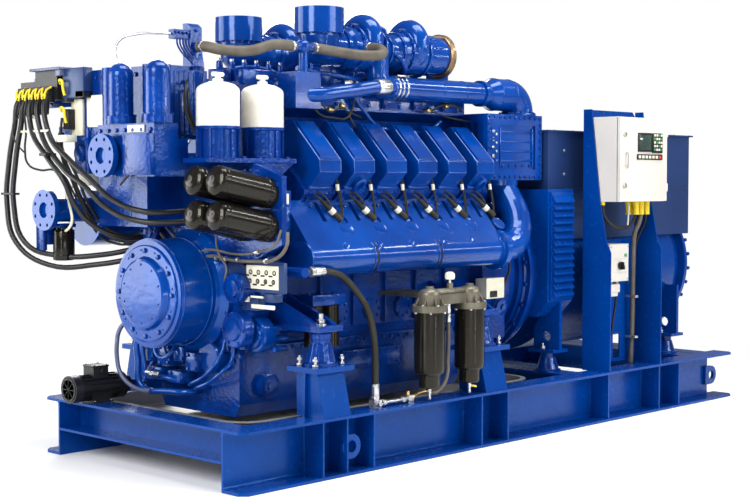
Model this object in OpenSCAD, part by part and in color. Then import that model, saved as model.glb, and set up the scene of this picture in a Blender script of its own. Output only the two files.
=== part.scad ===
// Twelve-cylinder diesel generator set on a welded skid.
// X runs along the crankshaft from the free end to the alternator, Z is up,
// the control cabinet is on the -Y side. The origin is the centre of the
// skid's underside.

/* [Skid] */
// Length of the skid before the front mounts
front_overhang = 610; // [600:5:660]
// Length of the skid past the rear alternator mounts
rear_overhang = 330; // [310:5:380]
// Distance of the rail webs from the centre plane
web_y = 650; // [645:1:700]
// Height of the two side rails
rail_h = 290; // [280:5:320]
// Flange width of the side rails
rail_flange = 150; // [140:5:160]
// Web thickness of the side rails
rail_web_t = 12; // [8:1:16]
// Flange thickness of the side rails
rail_flange_t = 14; // [10:1:20]
// Distance of the anchor holes from the middle of the skid
anchor_x = 1800; // [1760:10:1840]
// Distance of the anchor holes from the centre plane
anchor_y = 735; // [728:1:745]
// Radius of the anchor holes
anchor_r = 13; // [9:1:16]
// Thickness of the stiffeners welded into the rails
stiffener_t = 10; // [8:1:14]
// Chamfer on the flange corners
rail_chamfer = 35; // [20:5:50]
// How far each rail web stops short of the flange ends
web_setback = 100; // [60:5:140]
// Thickness of the lifting lugs
lug_t = 20; // [15:1:30]
// Hole radius of the lifting lugs
lug_hole_r = 30; // [20:1:34]
// Outer radius of the lifting lugs
lug_r = 60; // [50:1:70]
// Height of the lifting lug holes above the ground
lug_z = 135; // [110:1:160]
// Width of the end cross beams
end_beam_w = 140; // [120:5:160]
// Depth of the end cross beams
end_beam_h = 160; // [120:5:200]
// Plate thickness of the cross beams
beam_t = 12; // [8:1:16]
// Flange width of the inner cross beams
inner_beam_w = 150; // [140:5:170]
// Depth of the beams that carry the drip tray
tray_beam_h = 160; // [120:5:180]

/* [Drip tray] */
// Length of the tray
tray_len = 2230; // [2100:10:2300]
// Depth of the tray
tray_depth = 84; // [60:2:90]
// Corner radius of the tray
tray_r = 170; // [120:5:200]
// Sheet thickness of the tray
tray_t = 4; // [3:1:6]
// Width of the tray's rim
tray_rim = 26; // [18:1:30]

/* [Engine mounts] */
// Place of the front mounts along the engine
front_mount_x = -1520; // [-1520:5:-1500]
// Place of the rear mounts along the engine
rear_mount_x = -320; // [-340:5:-300]
// Height of the pedestals' top face above the ground
pedestal_z = 530; // [500:5:560]
// Thickness of the pedestals' top plate
pedestal_plate_t = 26; // [20:1:32]
// Length of the pedestals' top plate along the engine
pedestal_plate_x = 250; // [220:5:270]
// Width of the pedestals' top plate
pedestal_plate_y = 210; // [190:5:230]
// Radius at the foot of a resilient mount
mount_r = 72; // [60:1:80]
// Radius at the top of a resilient mount
mount_top_r = 46; // [36:1:52]
// Height of a resilient mount
mount_h = 165; // [150:5:190]
// Thickness of the engine feet
foot_t = 30; // [22:1:36]

/* [Engine] */
// Height of the crankshaft above the ground
crank_z = 870; // [860:1:880]
// Distance between two cylinders of one bank
cyl_pitch = 240; // [236:1:246]
// Cylinders in one bank
cyl_n = 6; // [4:1:6]
// Place of the first cylinder along the engine
cyl_x = -1350; // [-1360:1:-1340]
// Front face of the crankcase
crankcase_x0 = -1600; // [-1610:5:-1590]
// Height of the joint between crankcase and sump
sump_top_z = 600; // [590:5:610]
// Height of the underside of the sump
sump_bottom_z = 255; // [245:5:275]
// Half width of the crankcase at the sump joint
case_half_w = 330; // [310:5:345]
// Distance of the head joint from the crankshaft
deck_v = 530; // [520:5:540]
// Width of the head joint
deck_u = 400; // [380:5:410]
// Height of the cylinder heads
head_h = 170; // [150:5:180]
// Length of a cylinder head along the engine
head_w = 214; // [200:1:224]
// Length of a valve cover along the engine
cover_w = 146; // [130:1:160]
// Height of the valve covers
cover_h = 158; // [140:1:180]
// Height of the lip at a valve cover's outer edge
cover_lip = 60; // [40:1:80]

/* [Free end] */
// Front face of the gear case
gear_x0 = -1760; // [-1780:5:-1740]
// Radius of the gear case around the crankshaft
gear_r = 400; // [380:5:410]
// Radius of the damper housing
damper_r = 268; // [250:1:280]
// Front face of the damper housing
damper_x0 = -2045; // [-2060:5:-2020]
// Radius of the damper cover
damper_cover_r = 238; // [225:1:245]
// Radius of the raised middle of the damper cover
damper_boss_r = 160; // [140:1:180]
// Radius of the cream filter bowls
bowl_r = 104; // [95:1:108]
// Height of the cream filter bowls up to the dome
bowl_h = 172; // [165:1:180]
// Height of the plate that carries the bowls
bowl_base_z = 1505; // [1490:5:1520]
// Radius of the black spin-on filters
spin_r = 71; // [64:1:76]
// Length of the black spin-on filters
spin_len = 350; // [320:5:370]
// Slope of the black spin-on filters
spin_tilt = 11; // [8:1:13]
// Radius of the two domed tanks
tank_r = 60; // [56:1:61]
// Height of the tops of the two domed tanks
tank_top_z = 1985; // [1950:5:2000]
// Radius of the cooling water flanges
flange_r = 104; // [96:1:110]
// Bore radius of the cooling water flanges
flange_bore_r = 40; // [34:1:48]
// Pitch circle radius of the flange bolts
flange_bolt_pcr = 82; // [76:1:86]
// Radius of the flange bolt holes
flange_hole_r = 9; // [6:1:10]

/* [Charge air] */
// Radius of the charge air manifolds
manifold_r = 86; // [78:1:92]
// Height of the manifolds' axis
manifold_z = 1037; // [1030:1:1050]
// Distance of the manifolds' axis from the centre plane
manifold_y = 575; // [560:1:590]
// Front end of the manifolds
manifold_x0 = -1560; // [-1580:5:-1540]
// Rear end of the manifolds
manifold_x1 = -100; // [-110:5:-90]
// Front face of the charge air cooler
cooler_x0 = -25; // [-30:5:-20]
// Length of the charge air cooler along the engine
cooler_len = 500; // [470:5:520]
// Half width of the charge air cooler
cooler_half_w = 440; // [420:5:460]
// Underside of the charge air cooler
cooler_z0 = 1424; // [1410:2:1440]
// Top of the charge air cooler
cooler_z1 = 1800; // [1780:5:1820]
// Radius of the crossover pipes
crossover_r = 62; // [56:1:68]
// Radius of the bends into the cooler
crossover_bend_r = 92; // [84:1:98]
// Inner radius of the bends into the cooler
crossover_throat = 11; // [8:1:16]

/* [Turbochargers] */
// Distance of the turbochargers from the centre plane
turbo_y = 315; // [310:1:320]
// Height of the turbochargers' axis
turbo_z = 2110; // [2105:1:2120]
// Radius of the compressor housings
compressor_r = 125; // [118:1:127]
// Radius of the turbine housings
turbine_r = 122; // [112:1:126]
// Radius of the exhaust outlets
outlet_r = 117; // [110:1:122]
// Radius of the air intake stubs
intake_r = 127; // [118:1:134]
// Height of the top of the air intake stubs
intake_top_z = 2300; // [2280:5:2320]
// Place of the air intake stubs along the engine
intake_x = -1190; // [-1200:5:-1185]

/* [Alternator] */
// Front face of the alternator
alt_x0 = 400; // [395:5:410]
// Length of the alternator's air inlet section
alt_inlet_len = 240; // [220:5:260]
// Half width of the air inlet section
alt_half_w = 575; // [560:5:590]
// Radius of the stator frame
stator_r = 500; // [480:5:510]
// Rear face of the stator frame
stator_x1 = 1880; // [1860:5:1900]
// Height of the top of the air inlet section
alt_top_z = 1370; // [1360:2:1376]
// Height of the underside of the air inlet section
alt_bottom_z = 620; // [600:5:640]
// Slats in each louvre panel
louvre_n = 14; // [8:1:16]
// Radius of the adaptor disc
adaptor_r = 520; // [505:5:540]
// Radius of the flywheel housing
flywheel_r = 440; // [420:5:450]
// Height of the top of the terminal box
termbox_z1 = 1720; // [1700:5:1760]
// Underside of the terminal box beside the stator
termbox_z0 = 1070; // [1040:5:1100]
// Rear end of the terminal box
termbox_x1 = 2040; // [2000:5:2060]
// Height of the alternator's feet above the ground
alt_foot_z = 405; // [395:5:420]

/* [Control stand] */
// Thickness of the stand's side plates
stand_t = 8; // [6:1:12]
// Inner face of the stand's front plate
stand_x0 = 719; // [715:1:725]
// Clear width between the stand's side plates
stand_gap = 532; // [526:1:540]
// Height of the top of the stand
stand_top_z = 1843; // [1820:1:1860]
// Depth of the stand behind the rail's outer edge
stand_depth = 200; // [190:1:210]
// Width of the control cabinet
cabinet_w = 500; // [480:1:506]
// Height of the control cabinet
cabinet_h = 500; // [480:1:520]
// Depth of the control cabinet with its door
cabinet_d = 242; // [220:1:260]
// Underside of the control cabinet
cabinet_z0 = 1296; // [1280:1:1310]
// Sheet thickness of the control cabinet
cabinet_t = 4; // [3:1:6]
// Thickness of the cabinet door
door_t = 18; // [14:1:24]
// Gap between the door and the cabinet
door_gap = 5; // [5:1:7]
// Radius of the hinge pins
hinge_r = 4; // [3:1:5]
// Width of the isolator box
isolator_w = 200; // [180:1:220]
// Height of the isolator box
isolator_h = 225; // [200:1:240]
// Depth of the isolator box
isolator_d = 115; // [100:1:125]
// Underside of the isolator box
isolator_z0 = 815; // [790:5:820]
// Radius of the isolator's rotary handle
isolator_knob_r = 24; // [18:1:28]

/* [Fuel filters] */
// Radius of the black fuel filter bowls
prefilter_r = 80; // [74:1:82]
// Distance between the two fuel filter bowls
prefilter_pitch = 315; // [300:1:316]
// Height of the black fuel filter bowls
prefilter_h = 325; // [310:5:340]
// Distance of the fuel filter bowls from the centre plane
prefilter_y = 768; // [760:1:775]
// Place of the first fuel filter bowl along the engine
prefilter_x = -845; // [-850:1:-843]

/* [Hidden] */
$fn = 48;
s45 = sqrt(0.5);
fit = 0.3;
run = 0.05;
eps = 1;
far_cut = 3000;
base_w = 2 * (web_y + rail_flange);
mount_y = web_y + 18;
alt_mount_x = [530, 1800];
alt_mount_y = alt_half_w - 95;
base_x0 = front_mount_x - front_overhang;
base_x1 = alt_mount_x[1] + rear_overhang;
base_len = base_x1 - base_x0;
flange_in = rail_h - rail_flange_t;
beam_len = 2 * web_y;
inner_flush_h = 160;
tray_z0 = rail_h - tray_depth;
tray_x0 = base_x0 + end_beam_w + 6;
tray_half = web_y - 26;
mount_top_z = pedestal_z + mount_h;
crankcase_x1 = cooler_x0 - 5;
case_half_mid = case_half_w + 20;
deck_y = deck_v * s45;
deck_z = crank_z + deck_v * s45;
valley_y = (deck_v - deck_u) * s45;
valley_z = crank_z + (deck_v + deck_u) * s45;
cooler_x1 = cooler_x0 + cooler_len;
adaptor_t = 100;
flywheel_x1 = alt_x0 - adaptor_t;
inlet_x1 = alt_x0 + alt_inlet_len;
stand_x1 = stand_x0 + stand_gap;
stand_back_t = 8;
stand_front_y = base_w / 2;
stand_back_y = stand_front_y - stand_depth;
stand_back_front = stand_back_y + stand_back_t;
cabinet_x0 = stand_x0 + 8;
cabinet_x1 = cabinet_x0 + cabinet_w;
cabinet_back = stand_back_front;
cabinet_front = cabinet_back + cabinet_d;
cabinet_body_front = cabinet_front - door_t - door_gap;
cabinet_z1 = cabinet_z0 + cabinet_h;
hinge_x = cabinet_x1 + 9;
hinge_y = cabinet_front - door_t / 2;
isolator_x0 = stand_x0 + 90;
isolator_front = stand_back_front + isolator_d;
knob_x = isolator_x0 + isolator_w * 0.55;
knob_z = isolator_z0 + isolator_h * 0.42;
casing_half = 300;
casing_z = 1900;
crossover_y = 380;
spout_x = intake_x + 360;
crossover_turn = crossover_r + 6;
crossover_foot_t = 12;
crossover_bend = crossover_bend_r + crossover_throat;
crossover_z = cooler_z1 + crossover_foot_t + crossover_bend;
turbo_x0 = intake_x + 150;
turbo_x1 = intake_x + 900;
prefilter_z = 425;
gear_top_z = crank_z + 570;
gear_lobe_r = 150;
gear_lobes = [[-380, 340], [-250, 420], [520, 350]];
fuel_drive = [-400, 35];
water_drive = [-370, -170];
sump_door_z = 400;
side_filter_x = [-1380, -1270];
side_filter_y = 470;
side_filter_z = [590, 800];
casing_x0 = crankcase_x0 + 120;
casing_x1 = cooler_x0 - 5;
saddle_h = 60;
intake_ring_z = 2170;
scroll_up = 40;
breather = [-1380, -400, 2085];
bowl_x = [-1915, -1635];
bowl_y = -380;
bowl_z = bowl_base_z + 167;
spin_place = [[-1800, -600, 1362], [-1800, -600, 1202], [-1800, -440, 1362], [-1800, -440, 1202]];
hx_x0 = -2060;
hx_x1 = -1800;
hx_y = [-160, 620];
hx_edge = 20;
hx_z0 = 1640;
hx_z1 = 1975;
sensor = [-1850, -110, 2070];
tank_y = [-245, 45];
column_y = [-100, 230];
tank_x = -2165;
tank_z0 = 1690;
tank_h = tank_top_z - tank_z0;
tank_house_x = -2200;
unit_x0 = -2130;
unit_y = [640, 980];
unit_z = [1835, 1935];
upper_flange = [-2262, 80, 1540];
lower_flange = [-2220, 640, 1270];
pump_y = 460;
pump_z = 365;

// Routes of the charge air elbows, and of the hoses and cables from fitting to fitting
elbow_route = [[-70, -575, 1037], [0, -575, 1042], [60, -572, 1060], [115, -560, 1095], [155, -540, 1145],
    [180, -510, 1205], [195, -470, 1265], [205, -425, 1320], [210, -385, 1365], [210, -370, 1400]];
fuel_hose_route = [[-1630, -690, 985], [-1520, -690, 985], [-1410, -692, 960], [-1320, -696, 890],
    [-1240, -705, 790], [-1205, -715, 670], [-1195, -720, 540], [-1195, -720, 420], [-1195, -720, 330]];
vent_hose_route = [[-1850, -160, 2070], [-1850, -200, 2070], [-1810, -290, 2050], [-1690, -360, 2050],
    [-1570, -400, 2085], [-1440, -400, 2085]];
air_hose_route = [[-1320, -400, 2085], [-1290, -400, 2085], [-1225, -490, 2065], [-1125, -585, 2048],
    [-1030, -610, 2060], [-995, -560, 2090], [-990, -505, 2100], [-990, -470, 2100]];
cable_routes = [
    [[-2130, 930, 1850], [-2160, 930, 1850], [-2200, 940, 1700], [-2225, 960, 1500], [-2245, 950, 1300],
        [-2235, 880, 1100], [-2140, 720, 985], [-1980, 500, 990], [-1800, 340, 1030], [-1760, 340, 1030]],
    [[-2130, 870, 1850], [-2160, 870, 1850], [-2200, 880, 1700], [-2230, 890, 1500], [-2250, 880, 1300],
        [-2225, 810, 1100], [-2130, 640, 1035], [-1980, 470, 1040], [-1800, 330, 1080], [-1760, 330, 1080]],
    [[-2130, 810, 1850], [-2160, 810, 1850], [-2200, 780, 1700], [-2200, 620, 1530], [-2190, 500, 1420],
        [-2140, 480, 1300], [-2060, 450, 1200], [-1920, 380, 1130], [-1800, 340, 1130], [-1760, 340, 1130]],
    [[-2130, 750, 1850], [-2160, 750, 1850], [-2195, 700, 1680], [-2190, 500, 1480], [-2180, 330, 1390],
        [-2150, 200, 1290], [-2100, 0, 1225], [-1960, -130, 1220], [-1800, -160, 1230], [-1760, -160, 1230]],
    [[-2130, 690, 1850], [-2160, 690, 1850], [-2190, 630, 1660], [-2185, 450, 1520], [-2175, 300, 1430],
        [-2150, 150, 1330], [-2090, -40, 1270], [-1940, -110, 1270], [-1800, -120, 1280],
        [-1760, -120, 1280]]];

// Box between two corners
module block(x0, x1, y0, y1, z0, z1) {
    translate([x0, y0, z0])
        cube([x1 - x0, y1 - y0, z1 - z0]);
}

// Cylinder along X between two stations
module xcyl(r, x0, x1, y, z) {
    translate([x0, y, z])
        rotate([0, 90, 0])
            cylinder(r = r, h = x1 - x0);
}

// Cylinder along Y between two stations
module ycyl(r, y0, y1, x, z) {
    translate([x, y1, z])
        rotate([90, 0, 0])
            cylinder(r = r, h = y1 - y0);
}

// Cylinder along Z between two heights
module zcyl(r, z0, z1, x, y) {
    translate([x, y, z0])
        cylinder(r = r, h = z1 - z0);
}

// Outline in Y and Z drawn out along X
module along_x(x0, x1) {
    translate([x0, 0, 0])
        rotate([90, 0, 90])
            linear_extrude(height = x1 - x0)
                children();
}

// Outline in X and Z drawn out along Y
module along_y(y0, y1) {
    translate([0, y1, 0])
        rotate([90, 0, 0])
            linear_extrude(height = y1 - y0)
                children();
}

// The children and their mirror image on the far side
module both_sides() {
    children();
    mirror([0, 1, 0])
        children();
}

// Turns bank coordinates into Y and Z: u along the head joint, v along the cylinders
function bank(u, v) = [(u - v) * s45, crank_z + (u + v) * s45];

// Frame of vectors across a route at point i
function seg(p, i) = let (a = p[max(i - 1, 0)], b = p[min(i + 1, len(p) - 1)]) (b - a) / norm(b - a);
function across(t) = let (c = abs(t[2]) < 0.9 ? cross([0, 0, 1], t) : cross([0, 1, 0], t)) c / norm(c);
function next_n(n, t) = let (m = n - t * (n * t)) m / norm(m);
function normals(p, i = 0, n = [0, 0, 0]) =
    i == len(p) ? [] :
    let (t = seg(p, i), m = i == 0 ? across(t) : next_n(n, t)) concat([m], normals(p, i + 1, m));

// Tube of given radius swept along a route of points
module swept(p, r, sides = 10) {
    ns = normals(p);
    pts = [for (i = [0:len(p) - 1]) let (t = seg(p, i), b = cross(t, ns[i]))
        for (k = [0:sides - 1]) p[i] + r * (cos(360 * k / sides) * ns[i] + sin(360 * k / sides) * b)];
    last = (len(p) - 1) * sides;
    faces = concat([[for (k = [0:sides - 1]) k]],
        [for (i = [0:len(p) - 2]) for (k = [0:sides - 1])
            [i * sides + k, (i + 1) * sides + k, (i + 1) * sides + (k + 1) % sides,
                i * sides + (k + 1) % sides]],
        [[for (k = [0:sides - 1]) last + sides - 1 - k]]);
    polyhedron(points = pts, faces = faces);
}

// Rail section: a channel open to the outside with rounded roots
module channel_section(h, w, web, flange) {
    root = 14;
    difference() {
        union() {
            translate([-w, 0])
                square([w, flange]);
            translate([-w, h - flange])
                square([w, flange]);
            translate([-web, 0])
                square([web, h]);
            translate([-web - root, flange])
                square([root, root]);
            translate([-web - root, h - flange - root])
                square([root, root]);
        }
        translate([-web - root, flange + root])
            circle(r = root);
        translate([-web - root, h - flange - root])
            circle(r = root);
    }
}

// Ribs of the rail at their stations along the skid
function rail_ribs() = [front_mount_x - 100, front_mount_x + 60, -1275, rear_mount_x - 130,
    rear_mount_x + 90, stand_x0 - stand_t / 2, stand_x1 + stand_t / 2, 1480];

module lug_plate(x0, x1, y0) {
    difference() {
        union() {
            block(x0, x1, y0 - lug_t, y0, lug_z - lug_r, lug_z + lug_r);
            ycyl(lug_r, y0 - lug_t, y0, x1, lug_z);
        }
        ycyl(lug_hole_r, y0 - lug_t - eps, y0 + eps, x1, lug_z);
    }
}

module rail() {
    difference() {
        translate([base_x0, -web_y, 0])
            rotate([90, 0, 90])
                linear_extrude(height = base_len)
                    channel_section(rail_h, rail_flange, rail_web_t, rail_flange_t);
        for (x = [base_x0, base_x1])
            translate([x, -base_w / 2, -eps])
                rotate([0, 0, 45])
                    translate([-rail_chamfer * s45, -rail_chamfer * s45, 0])
                        cube([rail_chamfer * 2 * s45, rail_chamfer * 2 * s45, rail_h + 2 * eps]);
        block(base_x1 - web_setback, base_x1 + eps, -web_y - rail_web_t - 15, -web_y + eps,
            rail_flange_t, flange_in);
        for (x = [-anchor_x, anchor_x])
            zcyl(anchor_r, -eps, rail_flange_t + eps, x, -anchor_y);
    }
    for (x = rail_ribs())
        block(x - stiffener_t / 2, x + stiffener_t / 2, 8 - base_w / 2, -web_y - rail_web_t,
            rail_flange_t, flange_in);
    lug_plate(base_x1 - web_setback - 50, base_x1 - web_setback + 20, -web_y - rail_web_t);
    lug_plate(front_mount_x + 60, front_mount_x + 100, -base_w / 2 + 40);
}

module rail_near() {
    color("royalblue")
        rail();
}

module rail_far() {
    color("royalblue")
        mirror([0, 1, 0])
            rail();
}

// End beam: a channel with its open side to the end of the skid
module end_beam() {
    difference() {
        block(base_x0, base_x0 + end_beam_w, -web_y, web_y, rail_h - end_beam_h, rail_h);
        block(base_x0 - eps, base_x0 + end_beam_w - beam_t, -web_y - eps, web_y + eps,
            rail_h - end_beam_h + beam_t, rail_h - beam_t);
    }
}

module front_cross_beam() {
    color("royalblue")
        end_beam();
}

module rear_cross_beam() {
    color("royalblue")
        translate([-web_setback, 0, 0])
            mirror([1, 0, 0])
                end_beam();
}

// Cross beam with two flanges and one web
module i_beam(x, z0, z1) {
    half = inner_beam_w / 2;
    block(x - half, x + half, -web_y, web_y, z0, z0 + beam_t);
    block(x - half, x + half, -web_y, web_y, z1 - beam_t, z1);
    block(x - beam_t / 2, x + beam_t / 2, -web_y, web_y, z0 + beam_t, z1 - beam_t);
}

module inner_beams() {
    color("royalblue") {
        for (x = [front_mount_x, rear_mount_x])
            i_beam(x, tray_z0 - tray_beam_h, tray_z0);
        for (x = alt_mount_x)
            i_beam(x, rail_h - inner_flush_h, rail_h);
    }
}

// Plan outline of the tray with round corners
module tray_plan(grow) {
    r = tray_r + grow;
    x0 = tray_x0 - grow;
    x1 = tray_x0 + tray_len + grow;
    y1 = tray_half + grow;
    translate([x0 + r, -y1])
        square([x1 - x0 - 2 * r, 2 * y1]);
    translate([x0, -y1 + r])
        square([x1 - x0, 2 * y1 - 2 * r]);
    for (x = [x0 + r, x1 - r])
        for (y = [-y1 + r, y1 - r])
            translate([x, y])
                circle(r = r);
}

module drip_tray() {
    color("tan")
        difference() {
            union() {
                translate([0, 0, tray_z0])
                    linear_extrude(height = tray_depth)
                        tray_plan(-tray_rim);
                translate([0, 0, rail_h - tray_t])
                    linear_extrude(height = tray_t)
                        tray_plan(0);
            }
            translate([0, 0, tray_z0 + tray_t])
                linear_extrude(height = tray_depth)
                    tray_plan(-tray_rim - tray_t);
        }
}

// Welded pedestal: a tapered box under a bolted plate, with a gusset to the engine
module pedestal(x) {
    leg_top = 140;
    leg_foot = 190;
    top_z = pedestal_z - pedestal_plate_t;
    block(x - pedestal_plate_x / 2, x + pedestal_plate_x / 2, -mount_y - pedestal_plate_y / 2,
        -mount_y + pedestal_plate_y / 2, top_z, pedestal_z);
    along_x(x - 95, x + 85)
        polygon([[-mount_y + leg_top / 2, top_z], [-mount_y - leg_top / 2, top_z],
            [-mount_y - 122, rail_h], [-mount_y - 122 + leg_foot, rail_h]]);
    along_y(-mount_y - 10, -mount_y + 10)
        polygon([[x - 95, top_z], [x - 95, rail_h], [x - 118, rail_h], [x - 112, top_z]]);
}

module engine_pedestals() {
    color("royalblue")
        both_sides() {
            pedestal(front_mount_x);
            pedestal(rear_mount_x);
        }
}

// Bell-shaped resilient mount with its adjusting ring and stud
module resilient_mount(x, z0, z1) {
    h = z1 - z0;
    translate([x, -mount_y, z0])
        rotate_extrude()
            polygon([[0, 0], [mount_r + 14, 0], [mount_r + 14, 10], [mount_r, 14], [mount_r - 4, 26],
                [mount_top_r + 6, h - 62], [mount_top_r, h - 56], [mount_top_r, h - 40],
                [mount_top_r + 6, h - 36], [mount_top_r + 6, h - 12], [mount_top_r, h], [0, h]]);
}

module engine_mounts() {
    color("royalblue")
        both_sides() {
            resilient_mount(front_mount_x, pedestal_z, mount_top_z);
            resilient_mount(rear_mount_x, pedestal_z, mount_top_z);
        }
}

// Engine foot: a shelf over the mount and two ribs up the crankcase
module engine_foot(x) {
    reach = mount_y + mount_r;
    foot_half = 78;
    z0 = mount_top_z;
    block(x - foot_half, x + foot_half, -reach, -case_half_mid, z0, z0 + foot_t);
    for (dx = [-70, 45])
        along_x(x + dx, x + dx + 25)
            polygon([[-case_half_mid, z0 + foot_t], [-reach + 30, z0 + foot_t],
                [-reach + 90, z0 + foot_t + 30], [-case_half_mid, z0 + 170]]);
}

module engine_feet() {
    color("royalblue")
        both_sides() {
            engine_foot(front_mount_x);
            engine_foot(rear_mount_x);
        }
}

module oil_sump() {
    floor_half = case_half_w - 50;
    color("royalblue") {
        along_x(crankcase_x0 - 130, crankcase_x1 - 60)
            polygon([[-case_half_w + 20, sump_top_z - 24], [-case_half_w + 20, sump_bottom_z + 60],
                [-floor_half, sump_bottom_z], [floor_half, sump_bottom_z],
                [case_half_w - 20, sump_bottom_z + 60], [case_half_w - 20, sump_top_z - 24]]);
        block(crankcase_x0 - 150, crankcase_x1 - 30, -case_half_w, case_half_w,
            sump_top_z - 24, sump_top_z);
        both_sides()
            ycyl(60, -case_half_w - 4, -case_half_w + 21, crankcase_x0 + 40, sump_door_z);
    }
}

// Lower case with round-edged doors over each crank, up to the two head joints
module crankcase() {
    door_r = 62;
    color("royalblue") {
        along_x(crankcase_x0, crankcase_x1)
            polygon([[-case_half_w, sump_top_z], [-case_half_mid, sump_top_z + 60],
                [-case_half_mid, manifold_z - 50], [-deck_y, manifold_z + 10], [-deck_y, deck_z],
                [-valley_y, valley_z], [valley_y, valley_z], [deck_y, deck_z],
                [deck_y, manifold_z + 10], [case_half_mid, manifold_z - 50],
                [case_half_mid, sump_top_z + 60], [case_half_w, sump_top_z]]);
        both_sides()
            for (i = [1:cyl_n - 3])
                ycyl(door_r, -case_half_mid - 12, -case_half_mid + 1,
                    cyl_x + (i + 0.1) * cyl_pitch, sump_top_z + 140);
    }
}

// Gear train housing: round around the crankshaft, with lobes for the driven pumps
module gear_case() {
    top = gear_top_z;
    shoulder = crank_z + 200;
    color("royalblue") {
        difference() {
            along_x(gear_x0, crankcase_x0) {
                translate([0, crank_z])
                    circle(r = gear_r);
                for (p = gear_lobes)
                    translate([p[0], crank_z + p[1]])
                        circle(r = gear_lobe_r);
                translate([fuel_drive[0], crank_z + fuel_drive[1]])
                    circle(r = 105);
                for (y = [-260, 260])
                    translate([y, sump_top_z + 60])
                        circle(r = gear_lobe_r);
                polygon([[-250, top], [250, top], [620, top - 110], [520, shoulder], [-380, shoulder - 10],
                    [-500, top - 140]]);
            }
            block(gear_x0 - eps, crankcase_x0 + eps, -far_cut, far_cut, 0, sump_top_z);
        }
        xcyl(72, gear_x0 - 60, gear_x0, fuel_drive[0], crank_z + fuel_drive[1]);
        xcyl(82, gear_x0 - 24, gear_x0, fuel_drive[0], crank_z + fuel_drive[1]);
        ycyl(24, -714, -440, gear_x0 + 95, 985);
        xcyl(22, gear_x0 + 95, gear_x0 + 130, -690, 985);
        xcyl(88, gear_x0 - 35, gear_x0, water_drive[0], crank_z + water_drive[1]);
    }
}

// Turned housing over the vibration damper
module damper_housing() {
    color("royalblue")
        translate([gear_x0, 0, crank_z])
            rotate([0, -90, 0])
                rotate_extrude($fn = 96)
                    polygon([[0, 0], [damper_r + 40, 0], [damper_r + 40, 30], [damper_r + 8, 60],
                        [damper_r, 80], [damper_r - 6, gear_x0 - damper_x0 - 24],
                        [damper_r - 2, gear_x0 - damper_x0 - 20], [damper_r - 2, gear_x0 - damper_x0],
                        [0, gear_x0 - damper_x0]]);
}

// Dished cover: bolt ring, stepped collar and flat middle
module damper_cover() {
    color("slateblue")
        translate([damper_x0, 0, crank_z])
            rotate([0, -90, 0])
                rotate_extrude($fn = 96)
                    polygon([[0, 0], [damper_cover_r, 0], [damper_cover_r, 14], [damper_cover_r - 6, 18],
                        [damper_boss_r + 22, 18], [damper_boss_r + 10, 40], [damper_boss_r, 44],
                        [0, 44]]);
}

module flywheel_housing() {
    color("royalblue")
        difference() {
            union() {
                xcyl(flywheel_r, crankcase_x1, flywheel_x1, 0, crank_z);
                xcyl(flywheel_r + 30, flywheel_x1 - 30, flywheel_x1, 0, crank_z);
                block(crankcase_x1, 220, -flywheel_r + 40, flywheel_r - 40, sump_top_z - 90, crank_z);
            }
            block(-eps, flywheel_x1 + eps, -far_cut, far_cut, 0, 440);
        }
}

module adaptor_disc() {
    color("midnightblue")
        translate([flywheel_x1, 0, crank_z])
            rotate([0, 90, 0])
                rotate_extrude($fn = 96)
                    polygon([[0, 0], [adaptor_r - 40, 0], [adaptor_r - 30, 8], [adaptor_r, 8],
                        [adaptor_r, 36], [adaptor_r - 24, 44], [adaptor_r - 24, adaptor_t], [0, adaptor_t]]);
}

// One cylinder head in bank coordinates, with the port boss low on its outer side
module cylinder_head(x) {
    along_x(x - head_w / 2, x + head_w / 2)
        polygon([bank(0, deck_v), bank(deck_u - 10, deck_v), bank(deck_u - 10, deck_v + head_h - 20),
            bank(deck_u - 30, deck_v + head_h), bank(14, deck_v + head_h), bank(0, deck_v + head_h - 14)]);
}

module cylinder_heads() {
    color("royalblue")
        both_sides()
            for (i = [0:cyl_n - 1])
                cylinder_head(cyl_x + i * cyl_pitch);
}

// Valve cover: tall box square to the cylinder, upright lip outside, raised lid on top
module valve_cover(x) {
    v0 = deck_v + head_h;
    v1 = v0 + cover_h;
    lip = cover_lip * s45;
    inner_u = deck_u - 40;
    outer_u = 22;
    along_x(x - cover_w / 2, x + cover_w / 2)
        polygon([bank(outer_u, v0), bank(inner_u, v0), bank(inner_u, v1 - 16), bank(inner_u - 16, v1),
            bank(outer_u + lip, v1), bank(outer_u, v1 - lip)]);
    along_x(x - cover_w / 2 + 14, x + cover_w / 2 - 14)
        polygon([bank(outer_u + lip + 14, v1), bank(inner_u - 30, v1), bank(inner_u - 36, v1 + 9),
            bank(outer_u + lip + 20, v1 + 9)]);
}

module valve_covers() {
    color("royalblue")
        both_sides()
            for (i = [0:cyl_n - 1])
                valve_cover(cyl_x + i * cyl_pitch);
}

// Charge air manifold: a round duct below, branches with slots between them above
module manifold() {
    slot_w = 26;
    difference() {
        along_x(manifold_x0, manifold_x1) {
            translate([-manifold_y, manifold_z])
                circle(r = manifold_r);
            polygon([[-deck_y, manifold_z + 20], [-deck_y, deck_z], bank(0, deck_v + 110),
                [-manifold_y - manifold_r * s45, manifold_z + manifold_r * s45],
                [-manifold_y, manifold_z - manifold_r], [-manifold_y + 60, manifold_z - manifold_r + 14]]);
        }
        for (i = [0:cyl_n - 1])
            translate([cyl_x + (i - 0.05) * cyl_pitch, -deck_y - 160, deck_z - 10])
                rotate([-45, 0, 0]) {
                    translate([-slot_w / 2, -90, -14])
                        cube([slot_w, 130, 120]);
                    translate([0, -90, -14])
                        cylinder(r = slot_w / 2, h = 120);
                    translate([0, 40, -14])
                        cylinder(r = slot_w / 2, h = 120);
                }
        for (i = [0:cyl_n - 1])
            translate([cyl_x + (i + 0.45) * cyl_pitch, -deck_y - 150, deck_z - 20])
                rotate([45, 0, 0])
                    translate([0, -10, -4])
                        cylinder(r = 34, h = 160);
    }
}

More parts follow.
